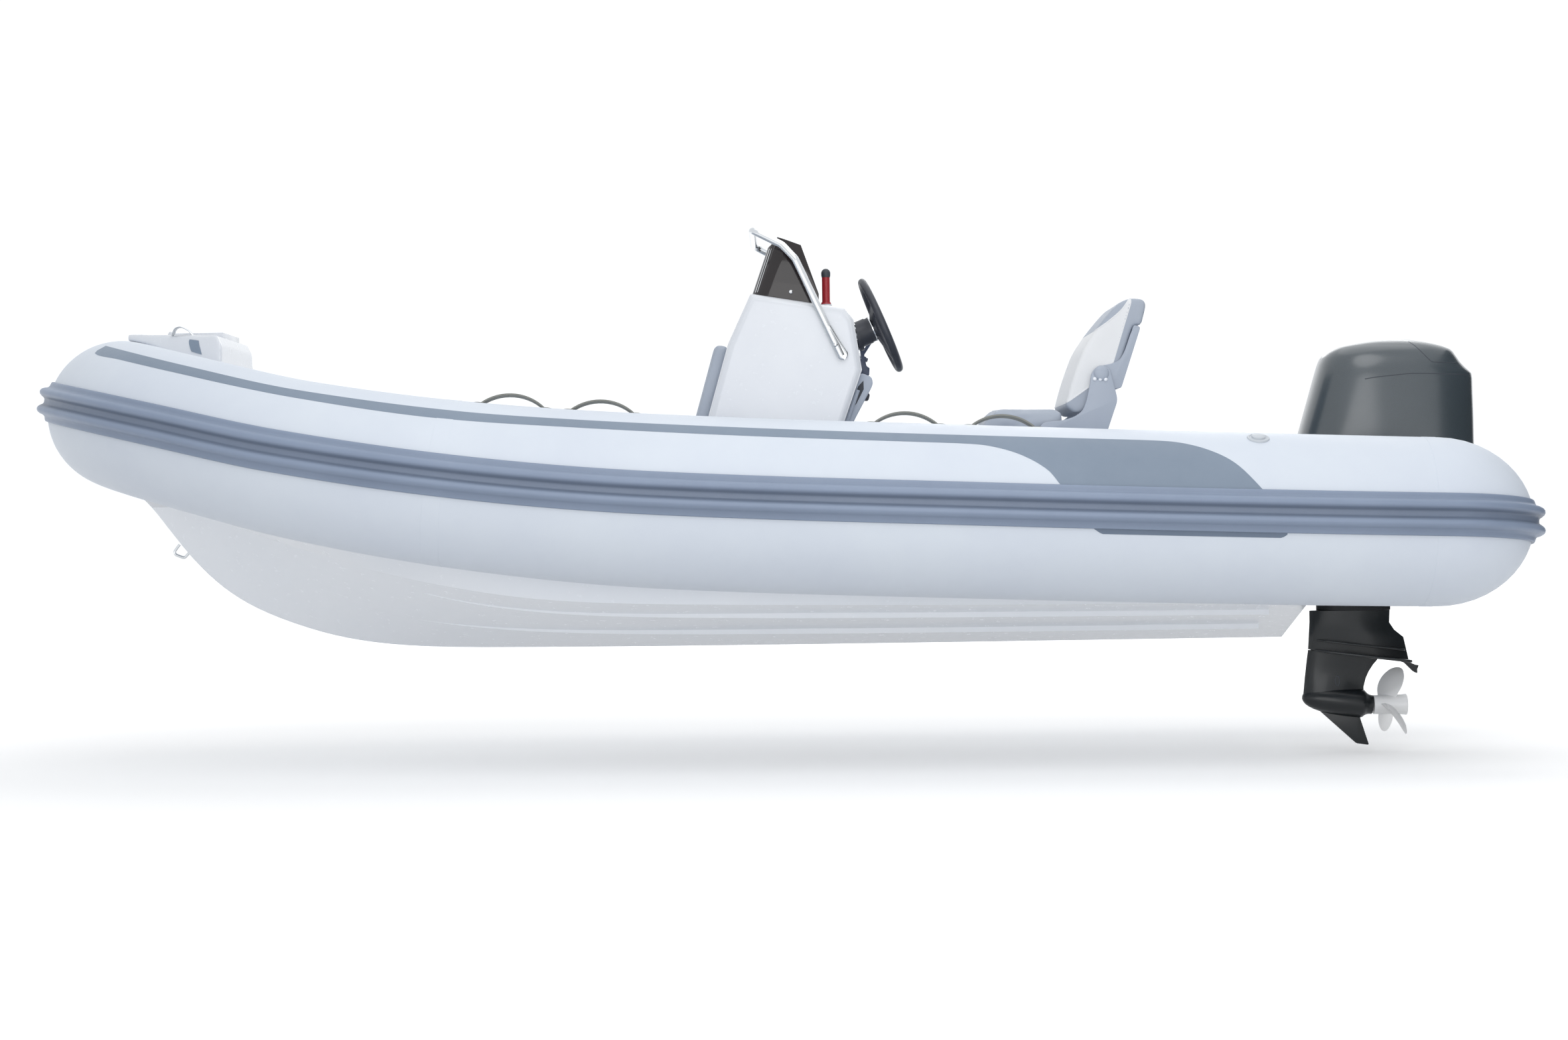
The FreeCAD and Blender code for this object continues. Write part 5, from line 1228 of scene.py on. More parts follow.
@dataclass
class BowFittings:
    """Polished hoops, and grey sheets of painted shadow on the bow step under them. Sizes in
    metres.

    Attributes:
        hoop_line: Middle line of a hoop, as (x, z).
        hoop_y: Its distance from the centreline.
        hoop_wide: Half the width of its band.
        hoop_thick: Half the thickness of its band.
        sheet_outline: Corners of a sheet of painted shadow, as (x, z).
        sheet_thick: Its thickness.
    """

    hoop_line: Table = ((1.996, 0.884), (1.99, 0.9), (1.983, 0.91), (1.968, 0.9145),
                        (1.954, 0.91), (1.939, 0.901), (1.929, 0.89), (1.92, 0.878))
    hoop_y: float = 0.196
    hoop_wide: float = 0.021
    hoop_thick: float = 0.0024
    sheet_outline: Table = ((1.932, 0.867), (1.929, 0.871), (1.898, 0.87), (1.894, 0.849),
                          (1.884, 0.816), (1.921, 0.827), (1.926, 0.835), (1.932, 0.856))
    sheet_thick: float = 0.002

    def hoop(self, side: int) -> Obj:
        """Makes the hoop of one side."""
        path = flow([(x, self.hoop_y, z) for x, z in self.hoop_line], steps=5)
        return sweep(to_side(path, side), Vector((0, 1, 0)), [self.hoop_wide], [self.hoop_thick],
                     power=3.0)

    def pad(self, step: Obj, side: int) -> Obj:
        """Makes the sheet of one side, which lies on the step: painted shadow of the hoop.

        Args:
            step: The skin of the bow step.
            side: 1 for port, -1 for starboard.

        Returns:
            The new mesh object.
        """
        inset, lift = 0.001, 0.0012
        heights = [z for _, z in self.sheet_outline]
        edges = list(zip(self.sheet_outline, self.sheet_outline[1:] + self.sheet_outline[:1]))
        lines = []
        for z in spread(min(heights) + inset, max(heights) - inset, 10):
            cuts = sorted(x0 + (x1 - x0) * (z - z0) / (z1 - z0)
                          for (x0, z0), (x1, z1) in edges if (z0 - z) * (z1 - z) < 0)
            spots = [land(step, x, z, side) for x in spread(cuts[0], cuts[-1], 6)]
            lines.append([point + normal * lift for point, normal in filter(None, spots)])
        return loft(lines, closed=False)

    def build(self, step: Obj) -> None:
        """Makes them.

        Args:
            step: The skin of the bow step.
        """
        hoops = both_sides(self.hoop)
        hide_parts("bow_chocks")
        finish_piece(hoops, "bow_hoops", STAINLESS_AND_PAINTED_HIGHLIGHT, HULL_BODY, angle=50.0)
        bpy.context.view_layer.update()
        shadow_sheets = both_sides(lambda side: self.pad(step, side))
        modify(shadow_sheets, "SOLIDIFY", thickness=self.sheet_thick, offset=0.0)
        finish_piece(shadow_sheets, "hoop_shadow_sheets", STRIPE_FABRIC_AND_PAINTED_SHADOW, HULL_BODY)


@dataclass
class ConsoleDoor:
    """The moulded door on the console's aft face, thicker at its top. Sizes in metres.

    Attributes:
        half_width: Half its width.
        outline: Its section, as (x, z).
        barrel_foot: Foot of the hinge's barrel.
        barrel_run: Direction of the barrel, up the door.
        barrel_profile: The barrel, as (along, radius).
        latch_outline: Section of the latch, as (x, z).
        latch_y: Where the latch starts and ends across the door.
        slot_shade_outline: The finger slot in the door's sides, as (x, z), drawn as a dark strip of
            painted shade for its recess.
        slot_shade_y: How deep and how proud the slot's dark strip of painted shade sits.
    """

    half_width: float = 0.17
    outline: Table = ((-0.205, 0.301), (-0.3565, 0.7305), (-0.393, 0.717), (-0.3985, 0.695),
                      (-0.392, 0.678), (-0.332, 0.567), (-0.229, 0.293))
    barrel_foot: Spot = (-0.212144, 0.176, 0.294736)
    barrel_run: Spot = (-0.3329, 0.0, 0.943)
    barrel_profile: Table = ((0.03, 0.008), (0.4, 0.008))
    latch_outline: Table = ((-0.38, 0.684), (-0.396, 0.668), (-0.39, 0.646), (-0.366, 0.648))
    latch_y: Pair = (-0.152, -0.112)
    slot_shade_outline: Table = ((-0.3655, 0.704), (-0.347, 0.684), (-0.318, 0.608), (-0.324, 0.607),
                           (-0.34, 0.624), (-0.366, 0.674))
    slot_shade_y: Pair = (0.1692, 0.1708)

    def slot(self, side: int) -> Obj:
        """Makes the finger slot of one side: a dark strip of painted shade for its recess."""
        return block(self.slot_shade_outline, self.slot_shade_y[0] * side, self.slot_shade_y[1] * side,
                     soft=0.0005, segments=2)

    def build(self) -> None:
        """Makes the door with its hinge barrel, its latch and the painted shade of its finger
        slots.
        """
        panel = block(rounded(self.outline, radius=0.01), -self.half_width, self.half_width,
                      soft=0.006)
        barrel = lathe(self.barrel_profile, Vector(self.barrel_foot), Vector(self.barrel_run),
                       around=20)
        door = joined([panel, barrel])
        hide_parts("console_door")
        finish_piece(door, "door_skin", GREY_PANEL, "console_door")
        latch = block(rounded(self.latch_outline, radius=0.006, steps=3), *self.latch_y,
                      soft=0.004)
        finish_piece(latch, "door_latch", BLACK_PLASTIC, "console_door")
        finish_piece(both_sides(self.slot), "door_slot_shade", SEAL_AND_PAINTED_SHADE, "console_door")


@dataclass
class ConsoleDetails:
    """Nuts, painted highlights on the screen, wheel shroud, rail feet, grip ends, control unit and
    gauges.

    Sizes in metres; what stands on both sides is given for port.

    Attributes:
        nut_places: Dome nuts that hold the screen and the rail.
        nut_profile: A dome nut, as (out, radius).
        highlight_places: Where the painted highlights down the screen's front bend start at the
            top.
        highlight_heights: Their upper and lower ends.
        highlight_run: How far forward the lower end lies.
        wheel_place: Middle of the steering wheel.
        wheel_axis: Its axis, towards the helm seat.
        shroud_profile: The tube between the dash and the wheel, as (along the axis, radius).
        ring_profile: The bright ring at its end.
        foot_line: Middle line of a flared end of the guard rail.
        rail_radius: Half the rail's width.
        foot_flare: How much that grows at the foot.
        foot_press: How much it thins there.
        grip_place: Foot of the red grip on the console.
        cap_profile: The grip's cap, as (height, radius).
        collar_profile: The collar at its foot.
        unit_outlines: The control unit's two steps: section as (x, z), start and end across, and
            radius of the edges.
        dash_out: Direction that the dash faces.
        dash_foot: A point on its face, as (x, z).
        dash_lean: How far it leans forward per metre of height.
        gauges: The dash's round instruments, as (y, z, radius).
        rim_profile: A gauge's rim, as (out, share of its radius).
        dial_profile: A gauge's blank face, as (out, share of its radius).
    """

    nut_places: Sequence[Spot] = ((-0.12, 0.2625, 1.004),
                                                        (-0.268, 0.3285, 0.818))
    nut_profile: Table = ((-0.002, 0.0075), (0.001, 0.0075), (0.003, 0.006), (0.0045, 0.003),
                          (0.0048, 0.0))
    highlight_places: Pair = (-0.049, -0.056)
    highlight_heights: Pair = (1.154, 1.006)
    highlight_run: float = 0.05
    wheel_place: Spot = (-0.432, 0.0, 0.904)
    wheel_axis: Spot = (-0.921185, 0.0, 0.389124)
    shroud_profile: Table = ((-0.092, 0.0405), (-0.03, 0.044), (-0.0285, 0.0425),
                             (-0.0285, 0.0))
    ring_profile: Table = ((-0.0335, 0.043), (-0.033, 0.0452), (-0.03, 0.0455),
                           (-0.029, 0.0445), (-0.029, 0.042))
    foot_line: Sequence[Spot] = (
        (-0.243, 0.3178, 0.88), (-0.268, 0.3165, 0.83), (-0.29, 0.3145, 0.79),
        (-0.3, 0.313, 0.77))
    rail_radius: float = 0.0128
    foot_flare: float = 0.0062
    foot_press: float = 0.008
    grip_place: Spot = (-0.241, 0.15, 0.9545)
    cap_profile: Table = ((0.1065, 0.0142), (0.1125, 0.0156), (0.1225, 0.0158), (0.1295, 0.0135),
                          (0.135, 0.0075), (0.1365, 0.0))
    collar_profile: Table = ((-0.002, 0.0225), (0.004, 0.0225), (0.01, 0.0205), (0.018, 0.0158),
                             (0.0185, 0.0138))
    unit_outlines: Sequence[tuple[Table, float, float, float]] = (
        (((-0.3545, 0.811), (-0.386, 0.801), (-0.38, 0.781), (-0.388, 0.767), (-0.396, 0.763),
          (-0.3945, 0.7365), (-0.36, 0.7365)), -0.216, -0.124, 0.003),
        (((-0.372, 0.802), (-0.392, 0.797), (-0.389, 0.786), (-0.37, 0.789)),
         -0.205, -0.135, 0.002))
    dash_out: Spot = (-0.988, 0.0, 0.157)
    dash_foot: Pair = (-0.358, 0.735)
    dash_lean: float = 0.027 / 0.17
    gauges: Sequence[Spot] = (
        (0.085, 0.872, 0.026), (0.16, 0.872, 0.026), (-0.098, 0.868, 0.016),
        (0.225, 0.79, 0.014))
    rim_profile: Table = ((-0.004, 1.16), (0.003, 1.16), (0.006, 1.06), (0.006, 0.96),
                          (0.003, 0.94))
    dial_profile: Table = ((0.001, 0.95), (0.0035, 0.95), (0.0042, 0.5), (0.0044, 0.0))

    def build(self, screen: Obj) -> None:
        """Makes all of it.

        Args:
            screen: The skin of the screen, which the painted highlights lie on.
        """
        self.nuts()
        self.rail_feet()
        self.grip()
        self.control_unit()
        self.dash()
        self.screen_highlights(screen)
        self.shroud()

    def nuts(self) -> None:
        """Makes the dome nuts."""
        parts = [lathe(self.nut_profile, Vector((x, y * side, z)), Vector((0, side, 0)), around=20)
                 for side in (1, -1) for x, y, z in self.nut_places]
        finish_piece(joined(parts), "dome_nuts", STAINLESS_AND_PAINTED_HIGHLIGHT, HULL_BODY)

    def screen_highlights(self, screen: Obj) -> None:
        """Makes two painted highlights down the screen's front bend, on each side: thin polished
        strips that stand in for the light on the acrylic's bend.

        Args:
            screen: The skin of the screen.
        """
        top, low = self.highlight_heights
        lines = [drawn_line(screen, ((x, top), (x + self.highlight_run, low)), side,
                            width=0.0026, lift=0.0006)
                 for x in self.highlight_places for side in (1, -1)]
        finish_piece(joined(lines), "screen_highlights", STAINLESS_AND_PAINTED_HIGHLIGHT, HULL_BODY)

    def shroud(self) -> None:
        """Makes the wheel's shroud and its ring."""
        place, axis = Vector(self.wheel_place), Vector(self.wheel_axis)
        tube = lathe(self.shroud_profile, place, axis, around=48)
        finish_piece(tube, "wheel_shroud", BLACK_PLASTIC, HULL_BODY)
        ring = lathe(self.ring_profile, place, axis, around=48)
        finish_piece(ring, "shroud_ring", STAINLESS_AND_PAINTED_HIGHLIGHT, HULL_BODY)

    def rail_foot(self, side: int) -> Obj:
        """Makes one flattened, flared end of the guard rail.

        Args:
            side: 1 for port, -1 for starboard.

        Returns:
            The new mesh object.
        """
        path = flow(self.foot_line)
        shares = spread(0.0, 1.0, len(path) - 1)
        bulge = [math.sin(math.pi / 2 * share) for share in shares]
        wide = [self.rail_radius + self.foot_flare * b for b in bulge]
        thick = [self.rail_radius - self.foot_press * b for b in bulge]
        # the last part of the foot is round, seen from the side
        round_from = 0.7
        for i, share in enumerate(shares):
            if share > round_from:
                past = (share - round_from) / (1 - round_from)
                wide[i] *= math.sqrt(max(0.03, 1 - past**2))
        return sweep(to_side(path, side), Vector((1, 0, 0)), wide, thick, power=2.4,
                     around=28)

    def rail_feet(self) -> None:
        """Makes the guard rail's two ends."""
        feet = both_sides(self.rail_foot)
        finish_piece(feet, "rail_feet", STAINLESS_AND_PAINTED_HIGHLIGHT, HULL_BODY, angle=50.0)

    def grip(self) -> None:
        """Makes the red grip's dark cap and pale collar."""
        place, up = Vector(self.grip_place), Vector((0, 0, 1))
        cap = lathe(self.cap_profile, place, up)
        finish_piece(cap, "grip_cap", SEAL_AND_PAINTED_SHADE, HULL_BODY)
        collar = lathe(self.collar_profile, place, up)
        finish_piece(collar, "grip_collar", GREY_PLASTIC, HULL_BODY)

    def control_unit(self) -> None:
        """Makes the navy body of the control unit under the dash."""
        parts = [block(*unit) for unit in self.unit_outlines]
        finish_piece(joined(parts), "control_unit", NAVY_PLASTIC, HULL_BODY)

    def dash(self) -> None:
        """Makes two round gauges and two switches, all blank, on the sloping dash."""
        out = Vector(self.dash_out)
        rims, dials = [], []
        for y, z, radius in self.gauges:
            place = Vector((self.dash_foot[0] + self.dash_lean * (z - self.dash_foot[1]), y, z))
            rims.append(lathe([(h, radius * share) for h, share in self.rim_profile], place, out))
            dials.append(lathe([(h, radius * share) for h, share in self.dial_profile], place, out))
        finish_piece(joined(rims), "gauge_rims", STAINLESS_AND_PAINTED_HIGHLIGHT, HULL_BODY)
        finish_piece(joined(dials), "gauge_dials", SEAL_AND_PAINTED_SHADE, HULL_BODY)


@dataclass
class SeatBack:
    """The helm seat's folding back: pad, moulded shell and the arms. Sizes in metres.

    Attributes:
        pivot: The hinge, as (x, z).
        pad_half: Half the width of the pad.
        pad_cell: Size of the pad's mesh cells.
        front: Front of the pad, from its foot, as (x, z).
        aft: Back of the pad, from its top, as (x, z).
        shell_aft: Foot and top of the shell's after face, as (x, z).
        shell_front: Top and foot of its front face.
        cheek_outline: Front of a cheek of the shell, as (x, z) from the pivot.
        pin_profile: A hinge pin, as (out, radius).
        arm_foot: Foot of an arm on the seat's locker, as (x, z).
        arm_outline: The rest of an arm, as (x, z) from the pivot.
        arm_y: Inner and outer face of an arm.
    """

    pivot: Pair = (-1.167, 0.712)
    pad_half: float = 0.205
    pad_cell: float = 0.0075
    front: Table = ((-1.05, 0.607), (-1.073, 0.687), (-1.095, 0.75), (-1.119, 0.806),
                    (-1.163, 0.871), (-1.216, 0.934), (-1.244, 0.959), (-1.28, 0.974))
    aft: Table = ((-1.323, 0.971), (-1.337, 0.956), (-1.3165, 0.876), (-1.29, 0.8825),
                  (-1.2207, 0.6715), (-1.16, 0.62), (-1.118, 0.584), (-1.085, 0.58))
    shell_aft: Table = ((-1.244, 0.664), (-1.313, 0.874))
    shell_front: Table = ((-1.2902, 0.8815), (-1.2212, 0.6715))
    cheek_outline: Table = ((-0.128, 0.16), (-0.114, 0.147), (-0.09, 0.078), (-0.073, 0.049),
                            (-0.046, 0.037), (0.007, 0.028), (0.024, 0.0), (0.02, -0.024),
                            (-0.03, -0.046))
    pin_profile: Table = ((0.0, 0.009), (0.026, 0.009), (0.0275, 0.0075), (0.0275, 0.0))
    arm_foot: Table = ((-0.946, 0.5084), (-1.19, 0.5084))
    arm_outline: Table = ((-0.063, -0.088), (-0.054, -0.049), (-0.036, 0.024), (0.004, 0.03),
                          (0.026, 0.006), (0.03, -0.027), (0.042, -0.083), (0.056, -0.123),
                          (0.086, -0.144), (0.126, -0.155), (0.193, -0.161))
    arm_y: Pair = (0.215, 0.229)

    def around(self, points: Table) -> list[Pair]:
        """Points given from the pivot."""
        return [(self.pivot[0] + x, self.pivot[1] + z) for x, z in points]

    def cheek(self, side: int) -> Obj:
        """Makes one cheek of the shell with its hinge pin.

        Args:
            side: 1 for port, -1 for starboard.

        Returns:
            The new mesh object.
        """
        gap, thick, pin_gap = 0.0006, 0.006, 0.001
        inner = self.pad_half + gap
        outline = rounded([*self.shell_aft, *self.around(self.cheek_outline)], radius=0.012)
        plate = block(outline, side * inner, side * (inner + thick), soft=0.0025)
        foot = Vector((self.pivot[0], side * (self.pad_half + pin_gap), self.pivot[1]))
        return joined([plate, lathe(self.pin_profile, foot, Vector((0, side, 0)), around=24)])

    def build_shell(self) -> None:
        """Makes the shell with its two cheeks and pins."""
        half = self.pad_half + 0.004
        plate = block(rounded([*self.shell_aft, *self.shell_front], radius=0.008, steps=3),
                      -half, half, soft=0.003)
        shell = joined([plate, self.cheek(1), self.cheek(-1)])
        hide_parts("seat_back_shell")
        finish_piece(shell, "seat_shell_skin", GREY_PANEL, "seat_back")

    def build_arms(self) -> None:
        """Makes the two arms on the seat's locker."""
        outline = rounded([*self.arm_foot, *self.around(self.arm_outline)], radius=0.016)
        inner, outer = self.arm_y
        arms = both_sides(lambda side: block(outline, side * inner, side * outer, soft=0.004))
        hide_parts("seat_brackets")
        finish_piece(arms, "seat_arms_skin", GREY_PANEL, HULL_BODY)

    def build_pad(self) -> Obj:
        """Makes the pad: rounded all over, with no cloth run, so that its panel stays even.

        Returns:
            The piece.
        """
        front = [(p.x, p.y) for p in flow(self.front, steps=5)]
        pad = block([*front, *self.aft], -self.pad_half, self.pad_half, soft=0.016,
                    segments=4)
        modify(pad, "REMESH", mode="VOXEL", voxel_size=self.pad_cell)
        modify(pad, "SMOOTH", factor=0.5, iterations=9)
        modify(pad, "SUBSURF", levels=1, render_levels=1)
        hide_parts("seat_back_pad")
        return finish_piece(pad, "seat_back_pad_cover", VINYL_LIGHT, "seat_back",
                            angle=60.0)


@dataclass
class SeatDetails:
    """Panels, piping, pivot caps and studs of the folding helm seat. Sizes in metres.

    Attributes:
        crown: Upper edge of the back rest's pale panel, as (x, z).
        crown_end: Where that edge runs out on the front.
        piping_lines: The piping's other lines, as (x, z).
        cap_place: Middle of the port pivot cap.
        cap_profile: A pivot cap, as (out, radius).
        stud_places: Studs of a bracket, as (x, z).
        stud_y: Their distance from the centreline.
        stud_profile: A stud, as (out, radius).
    """

    crown: Table = ((-1.276, 0.969), (-1.247, 0.931), (-1.202, 0.893), (-1.152, 0.859))
    crown_end: Pair = (-1.1, 0.832)
    piping_lines: Sequence[Table] = (
        ((-1.281, 0.967), (-1.279, 0.95), (-1.26, 0.889), (-1.217, 0.75)),
        ((-1.037, 0.604), (-1.085, 0.636), (-1.136, 0.671)))
    cap_place: Spot = (-1.175, 0.2285, 0.7165)
    cap_profile: Table = ((-0.004, 0.026), (0.001, 0.026), (0.004, 0.0235), (0.0062, 0.018),
                          (0.0074, 0.009), (0.0077, 0.0))
    stud_places: Table = ((-1.152, 0.6965), (-1.171, 0.6955), (-1.189, 0.6945))
    stud_y: float = 0.2292
    stud_profile: Table = ((-0.004, 0.0068), (0.002, 0.0068), (0.0045, 0.0048), (0.0055, 0.0))

    def on_panel(self, x: float, z: float) -> bool:
        """Whether a point of the back rest lies on its pale panel.

        Args:
            x: Place along the boat.
            z: Height.

        Returns:
            True on the panel.
        """
        aft_top, front_foot = self.piping_lines[0][0], self.piping_lines[1][0]
        aft_lean, foot_rise = 0.295, 0.677
        return (x > aft_top[0] + (aft_top[1] - z) * aft_lean
                and z > front_foot[1] + (front_foot[0] - x) * foot_rise
                and z < smooth_value([*self.crown, self.crown_end], x))

    def caps(self, side: int) -> Obj:
        """Makes the pivot cap of one side."""
        x, y, z = self.cap_place
        return lathe(self.cap_profile, Vector((x, y * side, z)), Vector((0, side, 0)), around=36)

    def studs(self, side: int) -> Obj:
        """Makes the studs of one side."""
        return joined([lathe(self.stud_profile, Vector((x, self.stud_y * side, z)),
                             Vector((0, side, 0)), around=20) for x, z in self.stud_places])

    def build(self, pad: Obj) -> None:
        """Dresses the back rest's cover and its hinge.

        Args:
            pad: The back rest's pad.
        """
        pad.data.materials.append(VINYL.build())
        for face in pad.data.polygons:
            if not self.on_panel(face.center.x, face.center.z):
                face.material_index = 1
        parts = [drawn_line(pad, line, side, width=0.0055, lift=0.0016)
                 for line in (*self.piping_lines, self.crown) for side in (1, -1)]
        finish_piece(joined(parts), "seat_piping", VINYL_LIGHT, "seat_back",
                     angle=60.0)
        caps = both_sides(self.caps)
        finish_piece(caps, "pivot_caps", GREY_PANEL, HULL_BODY, angle=50.0)
        studs = both_sides(self.studs)
        # the studs wear the hull's gelcoat, painted whiter as painted light
        finish_piece(studs, "bracket_studs", HULL_GELCOAT_PAINTED_LIGHTER, HULL_BODY, angle=50.0)


@dataclass
class Cowl:
    """The motor's upper cowl with its shoulder and the inset rear top. Sizes in metres.

    Attributes:
        middle_x: Where its front and rear halves meet.
        front_power: How square its outline is in front, from 2 for an oval.
        back_power: The same behind.
        levels: For each height: front, back and half width.
    """

    middle_x: float = -2.18
    front_power: float = 2.5
    back_power: float = 3.4
    levels: Sequence[tuple[float, float, float, float]] = (
        (0.392, -1.853, -2.484, 0.178), (0.42, -1.861, -2.484, 0.182),
        (0.56, -1.9012, -2.4825, 0.184), (0.69, -1.939, -2.48, 0.18),
        (0.706, -1.9436, -2.478, 0.179), (0.712, -1.9454, -2.4735, 0.1784),
        (0.72, -1.9478, -2.465, 0.1774), (0.728, -1.9502, -2.456, 0.1762),
        (0.745, -1.9556, -2.44, 0.1725), (0.766, -1.964, -2.4262, 0.165),
        (0.782, -1.976, -2.4165, 0.156), (0.792, -1.987, -2.407, 0.148),
        (0.8025, -2.001, -2.383, 0.136), (0.81, -2.02, -2.358, 0.124),
        (0.817, -2.043, -2.329, 0.109), (0.8235, -2.068, -2.292, 0.091),
        (0.829, -2.098, -2.262, 0.072), (0.8325, -2.128, -2.237, 0.052),
        (0.835, -2.168, -2.202, 0.022))

    def ring(self, z: float, front: float, back: float, wide: float) -> list[Vector]:
        """Outline at a height.

        Args:
            z: The height.
            front: Its foremost x.
            back: Its aftmost x.
            wide: Its half width.

        Returns:
            The points of the outline.
        """
        points = []
        for turn in spread(0.0, 2 * math.pi, 96)[:-1]:
            along, across = math.cos(turn), math.sin(turn)
            power, reach = self.back_power, self.middle_x - back
            if along > 0:
                power, reach = self.front_power, front - self.middle_x
            points.append(Vector((self.middle_x + reach * squared(along, power),
                                  wide * squared(across, power), z)))
        return points

    def build(self) -> Obj:
        """Makes the cowl.

        Returns:
            The piece.
        """
        cowl = loft([self.ring(*level) for level in self.levels], capped=True)
        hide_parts("cowl")
        return finish_piece(cowl, "cowl_skin", MOTOR_PAINT, "motor", angle=60.0)


@dataclass
class LowerUnit:
    """The motor's lower unit in the lines of the photograph. Sizes in metres.

    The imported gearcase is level; here the plates and the torpedo run down aft a little.

    Attributes:
        case: Levels of the leg over the plates: front and back as (x, z), and half width.
        strut: Levels of the strut under them.
        section: Outline of a level, as (share of its length, share of its half width).
        plates: The two plates: port half of the plan as (x, y), height in front and thickness.
        front_x: Where the leg's front is at the plates.
        slope: How far a plate drops per metre aft.
        nose: Foremost point of the torpedo, as (x, z).
        torpedo_profile: The torpedo, as (along, radius).
        skeg_outline: The fin under it, as (x, z).
        tab_outline: The trim tab, as (x, z).
        fin_half: Half the thickness of both.
    """

    case: Sequence[Sequence[Any]] = (
        ((-1.915, -0.1104), (-2.195, -0.1104), 0.05), ((-1.915, -0.15), (-2.193, -0.154), 0.048),
        ((-1.9135, -0.175), (-2.21, -0.18), 0.046), ((-1.912, -0.198), (-2.242, -0.206), 0.042),
        ((-1.909, -0.245), (-2.26, -0.288), 0.038))
    strut: Sequence[Sequence[Any]] = (
        ((-1.909, -0.247), (-2.153, -0.279), 0.034), ((-1.9055, -0.27), (-2.1465, -0.2885), 0.032),
        ((-1.902, -0.296), (-2.136, -0.3), 0.03), ((-1.899, -0.322), (-2.12, -0.324), 0.028),
        ((-1.896, -0.346), (-2.109, -0.348), 0.028), ((-1.893, -0.378), (-2.101, -0.378), 0.031),
        ((-1.89, -0.405), (-2.102, -0.43), 0.036))
    section: Table = ((0.0, 0.0), (0.04, 0.42), (0.16, 0.82), (0.36, 1.0), (0.62, 0.86),
                      (0.86, 0.46), (1.0, 0.04))
    plates: Sequence[tuple[Table, float, float]] = (
        (((-1.914, 0.0), (-1.96, 0.058), (-2.07, 0.092), (-2.244, 0.092), (-2.26, 0.068)),
         -0.241, 0.009),
        (((-1.914, 0.0), (-1.956, 0.046), (-2.03, 0.062), (-2.218, 0.046), (-2.244, 0.03)),
         -0.206, 0.007))
    front_x: float = -1.91
    slope: float = 0.1228
    nose: Pair = (-1.886, -0.411)
    torpedo_profile: Table = (
        (0.0, 0.0), (0.0015, 0.008), (0.006, 0.0155), (0.014, 0.0235), (0.026, 0.0305),
        (0.045, 0.0375), (0.07, 0.0435), (0.1, 0.0478), (0.14, 0.05), (0.206, 0.05),
        (0.214, 0.0475), (0.222, 0.04), (0.23, 0.0355), (0.238, 0.0335), (0.246, 0.033))
    skeg_outline: Table = ((-1.893, -0.411), (-2.073, -0.575), (-2.117, -0.581), (-2.087, -0.487),
                           (-2.087, -0.441))
    tab_outline: Table = (
        (-2.22, -0.288), (-2.258, -0.2925), (-2.283, -0.3037), (-2.294, -0.3047),
        (-2.288, -0.3197), (-2.289, -0.3327), (-2.283, -0.3317), (-2.273, -0.3257),
        (-2.243, -0.2957))
    fin_half: float = 0.006

    def level(self, front: Sequence[float], aft: Sequence[float], wide: float) -> list[Vector]:
        """Streamlined outline, blunt in front and fine behind.

        Args:
            front: Its front, as (x, z).
            aft: Its back, as (x, z).
            wide: Its half width.

        Returns:
            The points of the outline.
        """
        shares = [(1 - math.cos(turn)) / 2 for turn in spread(0.0, math.pi, 18)]
        port = [(share, smooth_value(self.section, share)) for share in shares]
        ring = port + [(share, -w) for share, w in reversed(port[1:-1])]
        return [Vector((front[0] + (aft[0] - front[0]) * share, wide * w,
                        front[1] + (aft[1] - front[1]) * share)) for share, w in ring]

    def plate(self, port: Table, top: float, thick: float) -> Obj:
        """A thin plate over the leg.

        Args:
            port: Port half of its plan, as (x, y).
            top: Height of its top in front.
            thick: Its thickness.

        Returns:
            The new mesh object.
        """
        plan = rounded([*port, *((x, -y) for x, y in reversed(port[1:]))], radius=0.012,
                       steps=3)
        rings = [[Vector((x, y, top - self.slope * (self.front_x - x) - depth)) for x, y in plan]
                 for depth in (0.0, thick)]
        return modify(loft(rings, capped=True), "BEVEL", width=0.002, segments=2,
                      limit_method="ANGLE", angle_limit=0.7)

    def torpedo(self, tail: Vector) -> Obj:
        """Makes the bullet, necked in before the propeller, towards its tail."""
        start = Vector((self.nose[0], 0, self.nose[1]))
        return lathe(self.torpedo_profile, start, tail - start, around=48)

    def build(self, tail: Vector) -> Obj:
        """Makes the case with its plates, and the trim tab.

        Args:
            tail: Where the torpedo ends at the propeller.

        Returns:
            The case.
        """
        parts = [loft([self.level(*level) for level in levels], capped=True)
                 for levels in (self.case, self.strut)]
        parts += [self.plate(*plate) for plate in self.plates]
        fin = self.fin_half
        parts += [self.torpedo(tail), block(rounded(self.skeg_outline, radius=0.006, steps=3),
                                            -fin, fin, soft=0.004)]
        case = joined(parts)
        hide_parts("gearcase")
        finish_piece(case, "lower_unit_skin", GEARCASE_ENAMEL, "motor")
        tab = block(rounded(self.tab_outline, radius=0.003, steps=2), -fin, fin, soft=0.0015,
                    segments=2)
        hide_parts("trim_tab")
        finish_piece(tab, "trim_tab_skin", GEARCASE_ENAMEL, "motor")
        return case


